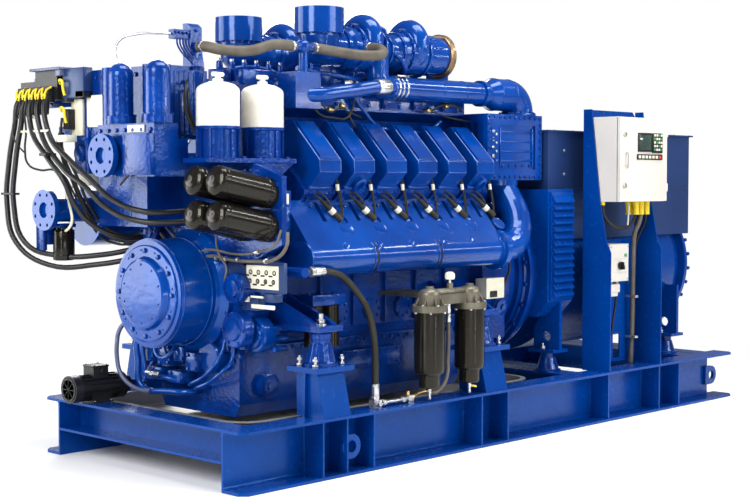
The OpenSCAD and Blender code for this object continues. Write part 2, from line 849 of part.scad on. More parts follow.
module manifolds() {
    color("royalblue")
        both_sides()
            manifold();
}

// Cast bend from the manifold's end up to the cooler, flanged at both ends
module charge_elbow() {
    difference() {
        union() {
            swept(elbow_route, manifold_r, 24);
            xcyl(manifold_r + 26, manifold_x1, manifold_x1 + 36, -manifold_y, manifold_z);
            zcyl(manifold_r + 22, cooler_z0 - 30, cooler_z0, cooler_x0 + 235, -cooler_half_w + 75);
        }
        block(-far_cut, far_cut, -far_cut, far_cut, cooler_z0, far_cut);
        xcyl(adaptor_r + 8, flywheel_x1 - 6, far_cut, 0, crank_z);
        xcyl(flywheel_r + 33, crankcase_x1 - 6, flywheel_x1 + eps, 0, crank_z);
    }
}

module charge_elbows() {
    color("royalblue")
        both_sides()
            charge_elbow();
}

// Cast bridge from the flywheel housing up to the cooler
module cooler_bracket() {
    reach = 250;
    color("royalblue")
        difference() {
            along_x(crankcase_x1 + 20, flywheel_x1 - 35)
                polygon([[-reach, cooler_z0], [-reach + 60, crank_z + flywheel_r - 140],
                    [reach - 60, crank_z + flywheel_r - 140], [reach, cooler_z0]]);
            xcyl(flywheel_r + fit, crankcase_x1 - eps, flywheel_x1, 0, crank_z);
        }
}

// Cooler body between its two bolted covers, with an end flange and a window grille
module charge_air_cooler() {
    body = cooler_half_w;
    color("royalblue")
        difference() {
            block(cooler_x0, cooler_x1, -body, body, cooler_z0, cooler_z1);
            for (y = [-body + 40, body - 40 - 150])
                for (i = [0:2])
                    block(cooler_x0 - eps, cooler_x0 + 24, y + i * 55, y + i * 55 + 30,
                        cooler_z1 - 150, cooler_z1 - 50);
            for (y = [-body + 30, body - 30])
                for (k = [0:4])
                    block(cooler_x1 - 12, cooler_x1 + eps, y - 6, y + 6,
                        cooler_z0 + 50 + k * 62, cooler_z0 + 80 + k * 62);
        }
}

// Cover plate with a rim and a sunk middle
module cooler_cover() {
    t = 30;
    rim = 62;
    difference() {
        block(cooler_x0, cooler_x1, -cooler_half_w - t, -cooler_half_w, cooler_z0, cooler_z1);
        block(cooler_x0 + rim + 40, cooler_x1 - rim, -cooler_half_w - t - eps, -cooler_half_w - t + 12,
            cooler_z0 + rim, cooler_z1 - rim);
    }
    for (k = [0:4])
        block(cooler_x0 + 24, cooler_x0 + 24 + 60, -cooler_half_w - t - 10, -cooler_half_w - t,
            cooler_z0 + 60 + k * 56, cooler_z0 + 72 + k * 56);
}

module cooler_covers() {
    color("royalblue")
        both_sides()
            cooler_cover();
}

// Compressor outlet pipe: straight run, cone and a wide bend down into the cooler
module crossover_pipe() {
    cone_x = 60;
    bend_x = 250;
    start_x = spout_x + crossover_turn;
    r = crossover_r;
    top_z = crossover_z + crossover_turn;
    xcyl(r, start_x, cone_x, -crossover_y, crossover_z);
    translate([start_x, -crossover_y, top_z])
        rotate([90, 0, 0])
            rotate_extrude(angle = 90)
                translate([-crossover_turn, 0])
                    circle(r = r);
    xcyl(r + 12, cone_x - 60, cone_x - 34, -crossover_y, crossover_z);
    translate([cone_x, -crossover_y, crossover_z])
        rotate([0, 90, 0])
            cylinder(r1 = r, r2 = crossover_bend_r, h = 60);
    xcyl(crossover_bend_r, cone_x + 60, bend_x, -crossover_y, crossover_z);
    translate([bend_x, -crossover_y, crossover_z - crossover_bend])
        rotate([90, 0, 0])
            rotate_extrude(angle = 90)
                translate([crossover_bend, 0])
                    circle(r = crossover_bend_r);
    foot_x = bend_x + crossover_bend;
    zcyl(crossover_bend_r, cooler_z1, crossover_z - crossover_bend, foot_x, -crossover_y);
    zcyl(crossover_bend_r + 18, cooler_z1, cooler_z1 + crossover_foot_t, foot_x, -crossover_y);
}

module crossover_pipes() {
    color("steelblue")
        both_sides()
            crossover_pipe();
}

// Exhaust casing in the valley, wider above the valve covers
module exhaust_casing() {
    z0 = valley_z;
    color("royalblue") {
        along_x(casing_x0, casing_x1)
            polygon([[-valley_y + 6, z0], [-valley_y - 60, z0 + 80], [-valley_y - 80, z0 + 220],
                [-casing_half, z0 + 260], [-casing_half, casing_z], [100 - casing_half, casing_z + 30],
                [casing_half - 100, casing_z + 30], [casing_half, casing_z],
                [casing_half, z0 + 260], [valley_y + 80, z0 + 220], [valley_y + 60, z0 + 80],
                [valley_y - 6, z0]]);
        both_sides()
            block(casing_x0 + 20, casing_x0 + 190, -casing_half - 130, -casing_half,
                casing_z - 2 * saddle_h, casing_z + saddle_h);
        zcyl(24, casing_z + saddle_h, breather[2], breather[0], breather[1]);
        translate(breather)
            sphere(r = 38);
        xcyl(22, breather[0] - 60, breather[0] + 60, breather[1], breather[2]);
    }
}

// Turbocharger: a scroll round the compressor, the bearing waist and a scroll round the turbine
module turbocharger() {
    x0 = turbo_x0;
    x1 = turbo_x1;
    scroll_r = compressor_r - 36;
    tube_r = 56;
    translate([x0, -turbo_y, turbo_z])
        rotate([0, 90, 0])
            rotate_extrude($fn = 72)
                polygon([[0, 0], [96, 0], [110, 20], [112, 60], [compressor_r - 10, 90],
                    [compressor_r - 5, 120], [compressor_r - 5, 190], [compressor_r - 20, 230], [100, 250],
                    [84, 300], [84, 360], [104, 400], [turbine_r - 10, 430], [turbine_r - 4, 460],
                    [turbine_r - 4, 560], [turbine_r - 14, 620], [outlet_r - 12, x1 - x0 - 20],
                    [outlet_r - 12, x1 - x0], [0, x1 - x0]]);
    for (x = [x0 + 155, x0 + 512])
        translate([x, -turbo_y, turbo_z + scroll_up])
            rotate([0, 90, 0])
                rotate_extrude($fn = 72)
                    translate([scroll_r, 0])
                        circle(r = tube_r);
    ycyl(28, -turbo_y - 155, -turbo_y, x0 + 50, turbo_z - 10);
    along_x(x0 + 290, x0 + 370)
        polygon([[-turbo_y + 55, turbo_z - 50], [-turbo_y + 55, turbo_z - 115],
            [-casing_half, casing_z], [90 - casing_half, casing_z], [-turbo_y + 105, turbo_z - 50]]);
    zcyl(crossover_r, crossover_z + crossover_turn, turbo_z, spout_x, -crossover_y);
}

module turbochargers() {
    color("royalblue")
        both_sides()
            difference() {
                turbocharger();
                along_x(-far_cut, far_cut)
                    polygon([[-casing_half, casing_z - 200], [-casing_half, casing_z],
                        [100 - casing_half, casing_z + 30], [casing_half, casing_z + 30],
                        [casing_half, casing_z - 200]]);
            }
}

// Clamp ring and blanking disc of the exhaust outlets
module exhaust_outlets() {
    color("sienna")
        both_sides()
            translate([turbo_x1, -turbo_y, turbo_z])
                rotate([0, 90, 0])
                    rotate_extrude($fn = 72)
                        polygon([[0, 0], [outlet_r - 2, 0], [outlet_r, 6], [outlet_r + 6, 10],
                            [outlet_r + 6, 34], [outlet_r, 40], [outlet_r - 12, 40], [outlet_r - 16, 26],
                            [0, 26]]);
}

// Air intake: bolted ring on a neck, with a ball elbow into the compressor
module intake_stub() {
    ring_z = intake_ring_z;
    ball_r = 100;
    neck_r = 108;
    translate([intake_x, -turbo_y, 0])
        rotate_extrude()
            polygon(concat([[0, turbo_z - ball_r]],
                [for (a = [-75:15:0]) [ball_r * cos(a), turbo_z + ball_r * sin(a)]],
                [[neck_r, ring_z - 15], [neck_r, ring_z], [intake_r, ring_z], [intake_r, intake_top_z],
                    [intake_r - 14, intake_top_z], [intake_r - 14, ring_z + 10], [0, ring_z + 10]]));
    xcyl(ball_r - 8, intake_x, turbo_x0, -turbo_y, turbo_z);
    xcyl(ball_r, turbo_x0 - 24, turbo_x0, -turbo_y, turbo_z);
}

module intake_stubs() {
    color("royalblue")
        both_sides()
            intake_stub();
}

// Cast carrier over the damper for the bowls above and the spin-on filters beside it
module filter_carrier() {
    color("royalblue") {
        block(bowl_x[0] - bowl_r - 21, bowl_x[1] + bowl_r + 21, bowl_y - bowl_r - 6, bowl_y + bowl_r + 6,
            bowl_base_z, bowl_base_z + 22);
        for (x = bowl_x) {
            zcyl(bowl_r - 8, bowl_base_z + 22, bowl_z, x, bowl_y);
            for (k = [0:11])
                rotate_about(x, bowl_y, k * 30)
                    block(x + bowl_r - 14, x + bowl_r + 2, bowl_y - 5, bowl_y + 5,
                        bowl_base_z + 22, bowl_z - 8);
        }
        along_x(gear_x0 - 30, gear_x0)
            polygon([[-690, 1440], [-480, bowl_base_z], [-260, bowl_base_z], [-200, 1380], [-420, 1010],
                [-690, 1120]]);
        along_y(-470, -300)
            polygon([[gear_x0, 1440], [gear_x0, bowl_base_z], [crankcase_x0 + 90, bowl_base_z],
                [crankcase_x0, 1440]]);
    }
}

module rotate_about(x, y, a) {
    translate([x, y, 0])
        rotate([0, 0, a])
            translate([-x, -y, 0])
                children();
}

// Cream bowl: straight wall, dome and a cap with a bleed screw
module filter_bowls() {
    color("ivory")
        for (x = bowl_x)
            translate([x, bowl_y, bowl_z])
                rotate_extrude($fn = 64)
                    polygon(concat([[0, 0], [bowl_r, 0], [bowl_r, bowl_h]],
                        [for (a = [10:10:80]) [bowl_r * cos(a), bowl_h + 46 * sin(a)]],
                        [[20, bowl_h + 46], [20, bowl_h + 58], [10, bowl_h + 60], [10, bowl_h + 72],
                            [0, bowl_h + 72]]));
}

// Black spin-on filter with a domed end and a fluted neck
module spin_on_filters() {
    color("#111111")
        difference() {
            for (p = spin_place)
                translate(p)
                    rotate([0, spin_tilt - 90, 0])
                        rotate_extrude()
                            polygon(concat(
                                [[0, -30], [spin_r - 6, -30], [spin_r, -16], [spin_r, spin_len - 40]],
                                [for (a = [15:15:75]) [spin_r * cos(a), spin_len - 40 + 34 * sin(a)]],
                                [[0, spin_len - 6]]));
            block(gear_x0 - 30, far_cut, -far_cut, far_cut, 0, far_cut);
        }
}

// Plate heat exchanger block behind the two domed tanks
module heat_exchanger() {
    color("royalblue") {
        along_x(hx_x0, hx_x1) {
            translate([hx_y[0], hx_z0])
                square([hx_y[1] - hx_y[0], hx_z1 - hx_z0 - hx_edge]);
            translate([hx_y[0] + hx_edge, hx_z0 - hx_edge])
                square([hx_y[1] - hx_y[0] - 2 * hx_edge, hx_z1 - hx_z0 + hx_edge]);
        }
        block(hx_x0 + 60, gear_x0, 60, 420, gear_top_z, hx_z0 - hx_edge);
        block(gear_x0, crankcase_x0, 60, 420, gear_top_z, hx_z0 - 80);
        along_x(sensor[0] - 35, sensor[0] + 35)
            polygon([[hx_y[0] + 2, hx_z1], [sensor[1] - 30, sensor[2] - 10], [sensor[1] - 30, sensor[2] + 95],
                [sensor[1], sensor[2] + 115], [sensor[1] + 30, sensor[2] + 115], [sensor[1] + 30, hx_z1]]);
        for (y = column_y)
            zcyl(68, tank_z0, hx_z1, hx_x0, y);
        block(hx_x0, hx_x0 + 14, unit_y[0] - 40, unit_y[1] - 20, unit_z[0] - 35, unit_z[1] + 25);
        block(sensor[0] - 130, sensor[0] - 35, sensor[1] - 20, sensor[1] + 20,
            sensor[2] + 35, sensor[2] + 80);
        ycyl(22, sensor[1] - 50, sensor[1], sensor[0], sensor[2]);
        block(hx_x0 + 80, gear_x0, 90, 500, gear_top_z - 250, gear_top_z);
    }
}

// Thermostat housing with its two domed tanks, in front of the heat exchanger
module thermostat_tanks() {
    color("royalblue")
        difference() {
            union() {
                for (y = tank_y) {
                    translate([tank_x, y, tank_z0])
                        rotate_extrude()
                            polygon(concat([[0, 0], [tank_r, 0], [tank_r, tank_h - tank_r]],
                                [for (a = [15:15:75]) [tank_r * cos(a), tank_h - tank_r * (1 - sin(a))]],
                                [[0, tank_h]]));
                    zcyl(tank_r + 12, tank_z0, tank_z0 + 40, tank_x, y);
                }
                block(tank_house_x, hx_x0 + 60, -260, 190, gear_top_z, tank_z0);
            }
            block(hx_x0, far_cut, -far_cut, far_cut, hx_z0 - 20, far_cut);
        }
}

// Cooling water flange on a short pipe
module water_flange(x, y, z, pipe) {
    difference() {
        union() {
            xcyl(flange_r, x, x + 26, y, z);
            xcyl(flange_bolt_pcr - 20, x + 26, x + pipe, y, z);
        }
        xcyl(flange_bore_r, x - eps, x + pipe - 20, y, z);
        for (k = [0:7])
            xcyl(flange_hole_r, x - eps, x + 27, y + flange_bolt_pcr * cos(k * 45 + 22.5),
                z + flange_bolt_pcr * sin(k * 45 + 22.5));
    }
}

module water_flanges() {
    color("royalblue") {
        water_flange(upper_flange[0], upper_flange[1], upper_flange[2], tank_house_x - upper_flange[0]);
        water_flange(lower_flange[0], lower_flange[1], lower_flange[2], gear_x0 - lower_flange[0]);
        xcyl(150, gear_x0 - 190, gear_x0, lower_flange[1] + 30, lower_flange[2] - 40);
    }
}

module control_unit() {
    color("black") {
        block(unit_x0, hx_x0, unit_y[0], unit_y[1], unit_z[0], unit_z[1]);
        block(unit_x0 + 5, hx_x0, unit_y[0] + 10, unit_y[0] + 210, unit_z[1], unit_z[1] + 50);
    }
}

// Priming pump: finned motor on two feet, terminal box on top
module priming_pump() {
    fin_n = 16;
    x = base_x0 + 100;
    color("#181818") {
        xcyl(58, x - 140, x + 130, pump_y, pump_z);
        xcyl(70, x - 170, x - 120, pump_y, pump_z);
        xcyl(68, x + 100, x + 150, pump_y, pump_z);
        xcyl(44, x + 150, x + 190, pump_y, pump_z);
        for (k = [0:fin_n - 1])
            translate([0, pump_y, pump_z])
                rotate([k * 360 / fin_n, 0, 0])
                    block(x - 120, x + 100, -2, 2, 50, 68);
        block(x - 60, x + 60, pump_y - 60, pump_y + 60, rail_h, rail_h + 8);
        block(x - 60, x + 60, pump_y - 50, pump_y - 30, rail_h, pump_z);
        block(x - 60, x + 60, pump_y + 30, pump_y + 50, rail_h, pump_z);
        block(x - 50, x + 40, pump_y - 45, pump_y + 45, pump_z + 50, pump_z + 112);
    }
}

// Two upright spin-on filters under the front of the manifold
module side_filters() {
    head_r = 55;
    color("#111111")
        for (x = side_filter_x)
            zcyl(head_r - 6, side_filter_z[0], side_filter_z[1], x, -side_filter_y);
    color("royalblue")
        block(side_filter_x[0] - head_r, side_filter_x[1] + head_r, -side_filter_y - head_r, -case_half_mid,
            side_filter_z[1], side_filter_z[1] + 50);
}

// Duplex fuel filter: cast head on a bracket from the crankcase
module prefilter_head() {
    z0 = prefilter_z + prefilter_h;
    color("darkkhaki") {
        for (i = [0:1]) {
            zcyl(prefilter_r + 10, z0, z0 + 34, prefilter_x + i * prefilter_pitch, -prefilter_y);
            zcyl(prefilter_r - 18, z0 + 34, z0 + 90, prefilter_x + i * prefilter_pitch, -prefilter_y);
        }
        block(prefilter_x, prefilter_x + prefilter_pitch, -prefilter_y - 30, -prefilter_y + 30,
            z0 + 34, z0 + 84);
        block(prefilter_x + 60, prefilter_x + prefilter_pitch - 60, -prefilter_y, -case_half_mid,
            z0 + 62, z0 + 84);
    }
}

module prefilter_bowls() {
    color("#15140f")
        for (i = [0:1])
            translate([prefilter_x + i * prefilter_pitch, -prefilter_y, prefilter_z])
                rotate_extrude()
                    polygon([[0, -66], [50, -66], [54, -60], [54, 0], [prefilter_r - 12, 4],
                        [prefilter_r - 4, 14], [prefilter_r, 30], [prefilter_r, prefilter_h],
                        [0, prefilter_h]]);
}

// Hoses that run from fitting to fitting
module hoses() {
    color("#3d3a30")
        swept(fuel_hose_route, 17);
    color("saddlebrown") {
        swept(vent_hose_route, 26);
        swept(air_hose_route, 26);
    }
}

// Fuel line along the rail from the hose to the filters
module fuel_line() {
    y = fuel_hose_route[8][1];
    x = fuel_hose_route[8][0];
    x1 = prefilter_x - prefilter_r - 5;
    color("silver") {
        block(x - 24, x + 24, y - 20, y + 20, rail_h, 330);
        xcyl(12, x + 24, x1, y, 310);
        block(x1 - 40, x1, y - 18, y + 18, rail_h, 328);
    }
}

// Engine loom from the control unit to the sensors
module wiring_harness() {
    color("#15151a")
        for (p = cable_routes)
            swept(p, 14, 8);
}

// Alternator: square air inlet section and a round ribbed stator frame
module alternator_frame() {
    z0 = alt_bottom_z;
    cut = 90;
    color("royalblue") {
        along_x(alt_x0, inlet_x1)
            polygon([[-alt_half_w, z0 + cut], [-alt_half_w + cut, z0], [alt_half_w - cut, z0],
                [alt_half_w, z0 + cut], [alt_half_w, alt_top_z], [-alt_half_w, alt_top_z]]);
        xcyl(stator_r, inlet_x1, stator_x1, 0, crank_z);
    }
}

// Louvre panel: a shallow box with sloping slats
module louvre_panel() {
    t = 34;
    x0 = alt_x0 + 16;
    x1 = inlet_x1 - 10;
    z0 = alt_bottom_z + 100;
    z1 = alt_top_z - 16;
    pitch = (z1 - z0 - 40) / louvre_n;
    block(x0, x1, -alt_half_w - 12, -alt_half_w, z0, z1);
    for (i = [0:louvre_n - 1])
        along_x(x0 + 12, x1 - 12)
            polygon([[-alt_half_w - 12, z0 + 22 + i * pitch], [-alt_half_w - 12, z0 + 22 + (i + 0.9) * pitch],
                [-alt_half_w - t, z0 + 22 + i * pitch + 6], [-alt_half_w - t, z0 + 22 + i * pitch]]);
}

module alternator_louvres() {
    color("royalblue")
        both_sides()
            louvre_panel();
}

module alternator_end_bell() {
    color("royalblue")
        translate([stator_x1, 0, crank_z])
            rotate([0, 90, 0])
                rotate_extrude($fn = 96)
                    polygon([[0, 0], [stator_r - 30, 0], [stator_r - 50, 40], [stator_r - 60, 130],
                        [stator_r - 10, 140], [stator_r - 10, 170], [stator_r - 60, 176],
                        [stator_r - 160, 190], [200, 210], [190, 225], [0, 225]]);
}

// Upright foot plate with a lightening hole over a pad
module alternator_foot(x, top) {
    difference() {
        block(x - 12, x + 12, -alt_half_w, -alt_half_w + 190, alt_foot_z + 18, top);
        xcyl(30, x - 13, x + 13, -alt_mount_y, alt_foot_z + 90);
        xcyl(stator_r + fit, x - 20, x + 20, 0, crank_z);
    }
    block(x - 70, x + 70, -alt_half_w, -alt_half_w + 190, alt_foot_z, alt_foot_z + 18);
}

module alternator_feet() {
    color("royalblue")
        both_sides() {
            difference() {
                alternator_foot(alt_mount_x[0], alt_bottom_z + 90);
                along_x(alt_x0, inlet_x1)
                    polygon([[-alt_half_w - eps, alt_bottom_z + 91], [-alt_half_w + 90, alt_bottom_z],
                        [0, alt_bottom_z], [0, alt_bottom_z + 200], [-alt_half_w - eps, alt_bottom_z + 200]]);
            }
            alternator_foot(alt_mount_x[1], crank_z - 130);
        }
}

module alternator_mounts() {
    color("royalblue")
        both_sides()
            for (x = alt_mount_x)
                translate([x, -alt_mount_y, rail_h])
                    rotate_extrude()
                        polygon([[0, 0], [78, 0], [78, 10], [66, 14], [46, 80], [42, 84],
                            [42, alt_foot_z - rail_h], [0, alt_foot_z - rail_h]]);
}

// Terminal box: saddle over the stator with an overhanging lid
module terminal_box() {
    x0 = cooler_x1 + 20;
    y1 = stator_r;
    color("darkslateblue")
        difference() {
            union() {
                block(x0, termbox_x1, -y1, y1, alt_top_z, termbox_z1 - 10);
                block(inlet_x1 + 6, termbox_x1, -y1, y1, termbox_z0, alt_top_z);
                block(x0 - 8, termbox_x1 + 30, -y1 - 12, y1 + 12, termbox_z1 - 10, termbox_z1);
            }
            xcyl(stator_r + fit, alt_x0, stator_x1 + 12, 0, crank_z);
            xcyl(stator_r - 8, stator_x1 - 1, far_cut, 0, crank_z);
        }
}

// Side plates of the stand: a narrow head, a knee and a straight leg
module stand_plates() {
    f = stand_front_y;
    color("royalblue")
        for (x = [stand_x0 - stand_t, stand_x1])
            along_x(x, x + stand_t)
                polygon([[-stand_back_y, rail_h], [-f, rail_h], [-f, 995], [-f + 30, 1055],
                    [-f + 80, 1300], [-f + 143, stand_top_z], [-stand_back_y, stand_top_z]]);
}

// Back plates of the stand, with a gap behind the cabinet's cable entry
module stand_back() {
    corner = 40;
    window_w = 70;
    color("royalblue") {
        along_y(-stand_back_front, -stand_back_y)
            polygon([[stand_x0, 1290], [stand_x0, stand_top_z], [stand_x1 - corner, stand_top_z],
                [stand_x1, stand_top_z - corner], [stand_x1, 1290]]);
        difference() {
            block(stand_x0, stand_x1, -stand_back_front, -stand_back_y, rail_h + 20, 1060);
            for (x = [stand_x0 + 150, stand_x0 + 300])
                block(x, x + window_w, -stand_back_front - eps, -stand_back_y + eps, 330, 480);
        }
    }
}

// Cabinet shell, open to the door, with two hinge ears
module control_cabinet() {
    ear_h = 24;
    t = cabinet_t;
    color("whitesmoke") {
        difference() {
            block(cabinet_x0, cabinet_x1, -cabinet_body_front, -cabinet_back, cabinet_z0, cabinet_z1);
            block(cabinet_x0 + t, cabinet_x1 - t, -cabinet_body_front - eps, -cabinet_back - t,
                cabinet_z0 + t, cabinet_z1 - t);
        }
        for (z = hinge_z)
            difference() {
                union() {
                    block(cabinet_x1, hinge_x + 4, -hinge_y, -cabinet_body_front + 20, z, z + ear_h);
                    zcyl(hinge_r + 4, z, z + ear_h, hinge_x, -hinge_y);
                }
                zcyl(hinge_r + run, z - eps, z + ear_h + eps, hinge_x, -hinge_y);
            }
    }
}

hinge_z = [cabinet_z0 + 60, cabinet_z1 - 110];

// Door: a pan with hinge pins, a pull handle and two quarter-turn locks
module cabinet_door() {
    ear_h = 24;
    x1 = cabinet_x1 - 2;
    color("whitesmoke") {
        block(cabinet_x0, x1, -cabinet_front, -cabinet_front + door_t, cabinet_z0 + 2, cabinet_z1 - 2);
        for (z = hinge_z) {
            zcyl(hinge_r, z, z + ear_h, hinge_x, -hinge_y);
            zcyl(hinge_r + 4, z + ear_h + fit, z + 2 * ear_h, hinge_x, -hinge_y);
            zcyl(hinge_r, z + ear_h - fit, z + ear_h + 2 * fit, hinge_x, -hinge_y);
            block(x1 - 10, hinge_x, -hinge_y - 4, -hinge_y + 4, z + ear_h + fit, z + 2 * ear_h);
        }
    }
    color("dimgray") {
        for (z = [cabinet_z0 + 395, cabinet_z0 + 95])
            ycyl(13, -cabinet_front - 6, -cabinet_front, cabinet_x0 + 42, z);
        for (z = [cabinet_z0 + 205, cabinet_z0 + 285])
            ycyl(5, -cabinet_front - 26, -cabinet_front, cabinet_x0 + 60, z);
        zcyl(5, cabinet_z0 + 200, cabinet_z0 + 290, cabinet_x0 + 60, -cabinet_front - 26);
    }
}

module isolator_box() {
    color("whitesmoke")
        difference() {
            block(isolator_x0, isolator_x0 + isolator_w, -isolator_front, -stand_back_front,
                isolator_z0, isolator_z0 + isolator_h);
            ycyl(6 + run, -isolator_front - eps, -isolator_front + 30, knob_x, knob_z);
        }
}

module isolator_handle() {
    color("dimgray") {
        ycyl(6, -isolator_front - 6, -isolator_front + 26, knob_x, knob_z);
        ycyl(isolator_knob_r, -isolator_front - 16, -isolator_front - 5, knob_x, knob_z);
        block(knob_x - 6, knob_x + 6, -isolator_front - 34, -isolator_front - 16,
            knob_z - isolator_knob_r + 2, knob_z + isolator_knob_r - 2);
    }
}

rail_near();
rail_far();
front_cross_beam();
inner_beams();
rear_cross_beam();
drip_tray();
engine_pedestals();
engine_mounts();
engine_feet();
oil_sump();
crankcase();
gear_case();
damper_housing();
damper_cover();
flywheel_housing();
adaptor_disc();
cylinder_heads();
valve_covers();
manifolds();
charge_elbows();
cooler_bracket();
charge_air_cooler();
cooler_covers();
crossover_pipes();
exhaust_casing();
turbochargers();
exhaust_outlets();
intake_stubs();
filter_carrier();
filter_bowls();
spin_on_filters();
heat_exchanger();
thermostat_tanks();
water_flanges();
control_unit();
priming_pump();
side_filters();
prefilter_head();
prefilter_bowls();
fuel_line();
hoses();
wiring_harness();
alternator_frame();
alternator_louvres();
alternator_end_bell();
alternator_feet();
alternator_mounts();
terminal_box();
stand_plates();
stand_back();
control_cabinet();
cabinet_door();
isolator_box();
isolator_handle();
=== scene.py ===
"""Looks of the marine diesel generator set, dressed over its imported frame."""
import math
import bmesh
import bpy
from mathutils import Matrix, Vector


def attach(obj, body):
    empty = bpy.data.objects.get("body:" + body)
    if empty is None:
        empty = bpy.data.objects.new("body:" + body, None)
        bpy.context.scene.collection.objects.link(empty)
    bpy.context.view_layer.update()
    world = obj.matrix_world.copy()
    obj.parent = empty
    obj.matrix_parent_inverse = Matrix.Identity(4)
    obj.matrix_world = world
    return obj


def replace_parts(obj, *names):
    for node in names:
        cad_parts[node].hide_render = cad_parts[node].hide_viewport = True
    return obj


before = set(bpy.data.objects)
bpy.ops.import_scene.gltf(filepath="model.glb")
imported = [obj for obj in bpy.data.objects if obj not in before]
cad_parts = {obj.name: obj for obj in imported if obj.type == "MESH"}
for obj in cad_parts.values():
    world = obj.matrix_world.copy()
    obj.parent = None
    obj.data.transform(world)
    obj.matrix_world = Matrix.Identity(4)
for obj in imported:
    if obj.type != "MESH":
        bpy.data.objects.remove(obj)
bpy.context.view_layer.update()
SET = "generator_set"


# Studio: a pale floor in front of a white surround, lit by soft boxes from the left,
# from above and from behind, with the camera low at the engine's free corner.
CAMERA_PLACE = Vector((-6.264, -5.625, 1.417))
CAMERA_YAW = math.radians(44.07)
CAMERA_PITCH = math.radians(-2.76)
CAMERA_LENS = 68.44
FLOOR_HALF = 30.0
WHITE = (1, 1, 1, 1)


def soft_box(name, place, aim, size, watts):
    """A rectangular soft light at a place, turned to a point"""
    lamp = bpy.data.lights.new(name, "AREA")
    lamp.shape = "RECTANGLE"
    lamp.size, lamp.size_y = size
    lamp.energy = watts
    holder = bpy.data.objects.new(name, lamp)
    holder.location = place
    holder.rotation_euler = (Vector(aim) - Vector(place)).to_track_quat("-Z", "Y").to_euler()
    bpy.context.scene.collection.objects.link(holder)


def fill(tree, node, values):
    """Puts constants and other nodes' outputs on the inputs of a shader node"""
    for socket, value in values.items():
        if isinstance(value, bpy.types.NodeSocket):
            tree.links.new(value, node.inputs[socket])
        else:
            node.inputs[socket].default_value = value
    return node


def shade(tree, kind, values=None, **settings):
    """A new shader node of a kind, with its settings made and its inputs filled"""
    node = tree.nodes.new("ShaderNode" + kind)
    for setting, value in settings.items():
        setattr(node, setting, value)
    return fill(tree, node, values or {})


lens = bpy.data.cameras.new("camera")
lens.lens = CAMERA_LENS
lens.clip_end = 200
camera = bpy.data.objects.new("camera", lens)
camera.location = CAMERA_PLACE
sight = Vector((math.cos(CAMERA_PITCH) * math.cos(CAMERA_YAW), math.cos(CAMERA_PITCH) * math.sin(CAMERA_YAW),
                math.sin(CAMERA_PITCH)))
camera.rotation_euler = sight.to_track_quat("-Z", "Y").to_euler()
bpy.context.scene.collection.objects.link(camera)
bpy.context.scene.camera = camera
bpy.context.scene.view_settings.view_transform = "Standard"

for name, place, aim, size, watts in (
        ("left_box", (-7.5, -1.5, 4.2), (-1.0, 0, 1.0), (3.0, 3.4), 410),
        ("right_box", (2.0, -7.5, 4.0), (0.4, 0, 1.0), (4.5, 2.6), 275),
        ("top_box", (-0.5, -1.5, 6.5), (-0.3, 0, 1.0), (5.5, 2.0), 370),
        ("low_box", (-5.0, -6.5, 0.9), (-0.5, -0.3, 0.8), (3.0, 1.0), 60),
        ("rear_box", (3.5, 6.0, 4.5), (0, 0, 1.0), (4.0, 3.0), 320),
        ("glance_box", (-6.3, 5.6, 2.0), (-2.1, 0, 1.2), (4.4, 3.6), 270),
        ("high_strip", (1.8, -3.2, 3.9), (-1.9, -0.6, 1.3), (3.5, 0.11), 62),
        ("side_strip", (1.8, -4.3, 2.1), (-1.9, -0.6, 1.3), (3.5, 0.08), 32),
        ("tall_strip", (-1.0, -5.6, 1.3), (-0.7, -0.77, 0.7), (0.09, 2.6), 22),
        ("left_strip", (-5.8, -1.4, 1.3), (-0.7, -0.77, 0.7), (0.1, 2.6), 20)):
    soft_box(name, place, aim, size, watts)

surround = bpy.data.worlds.new("surround")
bpy.context.scene.world = surround
surround.use_nodes = True
wires = surround.node_tree
wires.nodes.clear()
ray = shade(wires, "LightPath").outputs
seen = shade(wires, "Math", {0: ray["Is Camera Ray"], 1: ray["Is Transmission Ray"]}, operation="MAXIMUM")
dim = shade(wires, "Background", {"Color": (0.93, 0.96, 1.0, 1), "Strength": 0.24})
white = shade(wires, "Background", {"Color": WHITE, "Strength": 1.0})
choice = shade(wires, "MixShader", {"Fac": seen.outputs[0], 1: dim.outputs[0], 2: white.outputs[0]})
shade(wires, "OutputWorld", {"Surface": choice.outputs[0]})

bpy.ops.mesh.primitive_plane_add(size=2 * FLOOR_HALF, location=(0, 0, -0.001))
floor = bpy.context.object
floor.name = "floor"
floor_paint = bpy.data.materials.new("pale_floor")
floor_paint.use_nodes = True
wires = floor_paint.node_tree
matt = fill(wires, wires.nodes["Principled BSDF"], {"Base Color": (0.92, 0.92, 0.92, 1), "Roughness": 0.9})
spot = shade(wires, "TexCoord")
reach = shade(wires, "VectorMath", {0: spot.outputs["Object"]}, operation="LENGTH")
fade = shade(wires, "MapRange", {"From Min": 2.3, "From Max": 4.2, "Value": reach.outputs["Value"]})
ray = shade(wires, "LightPath").outputs
shown = shade(wires, "Math", {0: fade.outputs[0], 1: ray["Is Camera Ray"]}, operation="MULTIPLY")
glow = shade(wires, "Emission", {"Color": WHITE})
blend = shade(wires, "MixShader", {"Fac": shown.outputs[0], 1: matt.outputs[0], 2: glow.outputs[0]})
wires.links.new(blend.outputs[0], wires.nodes["Material Output"].inputs["Surface"])
floor.data.materials.append(floor_paint)


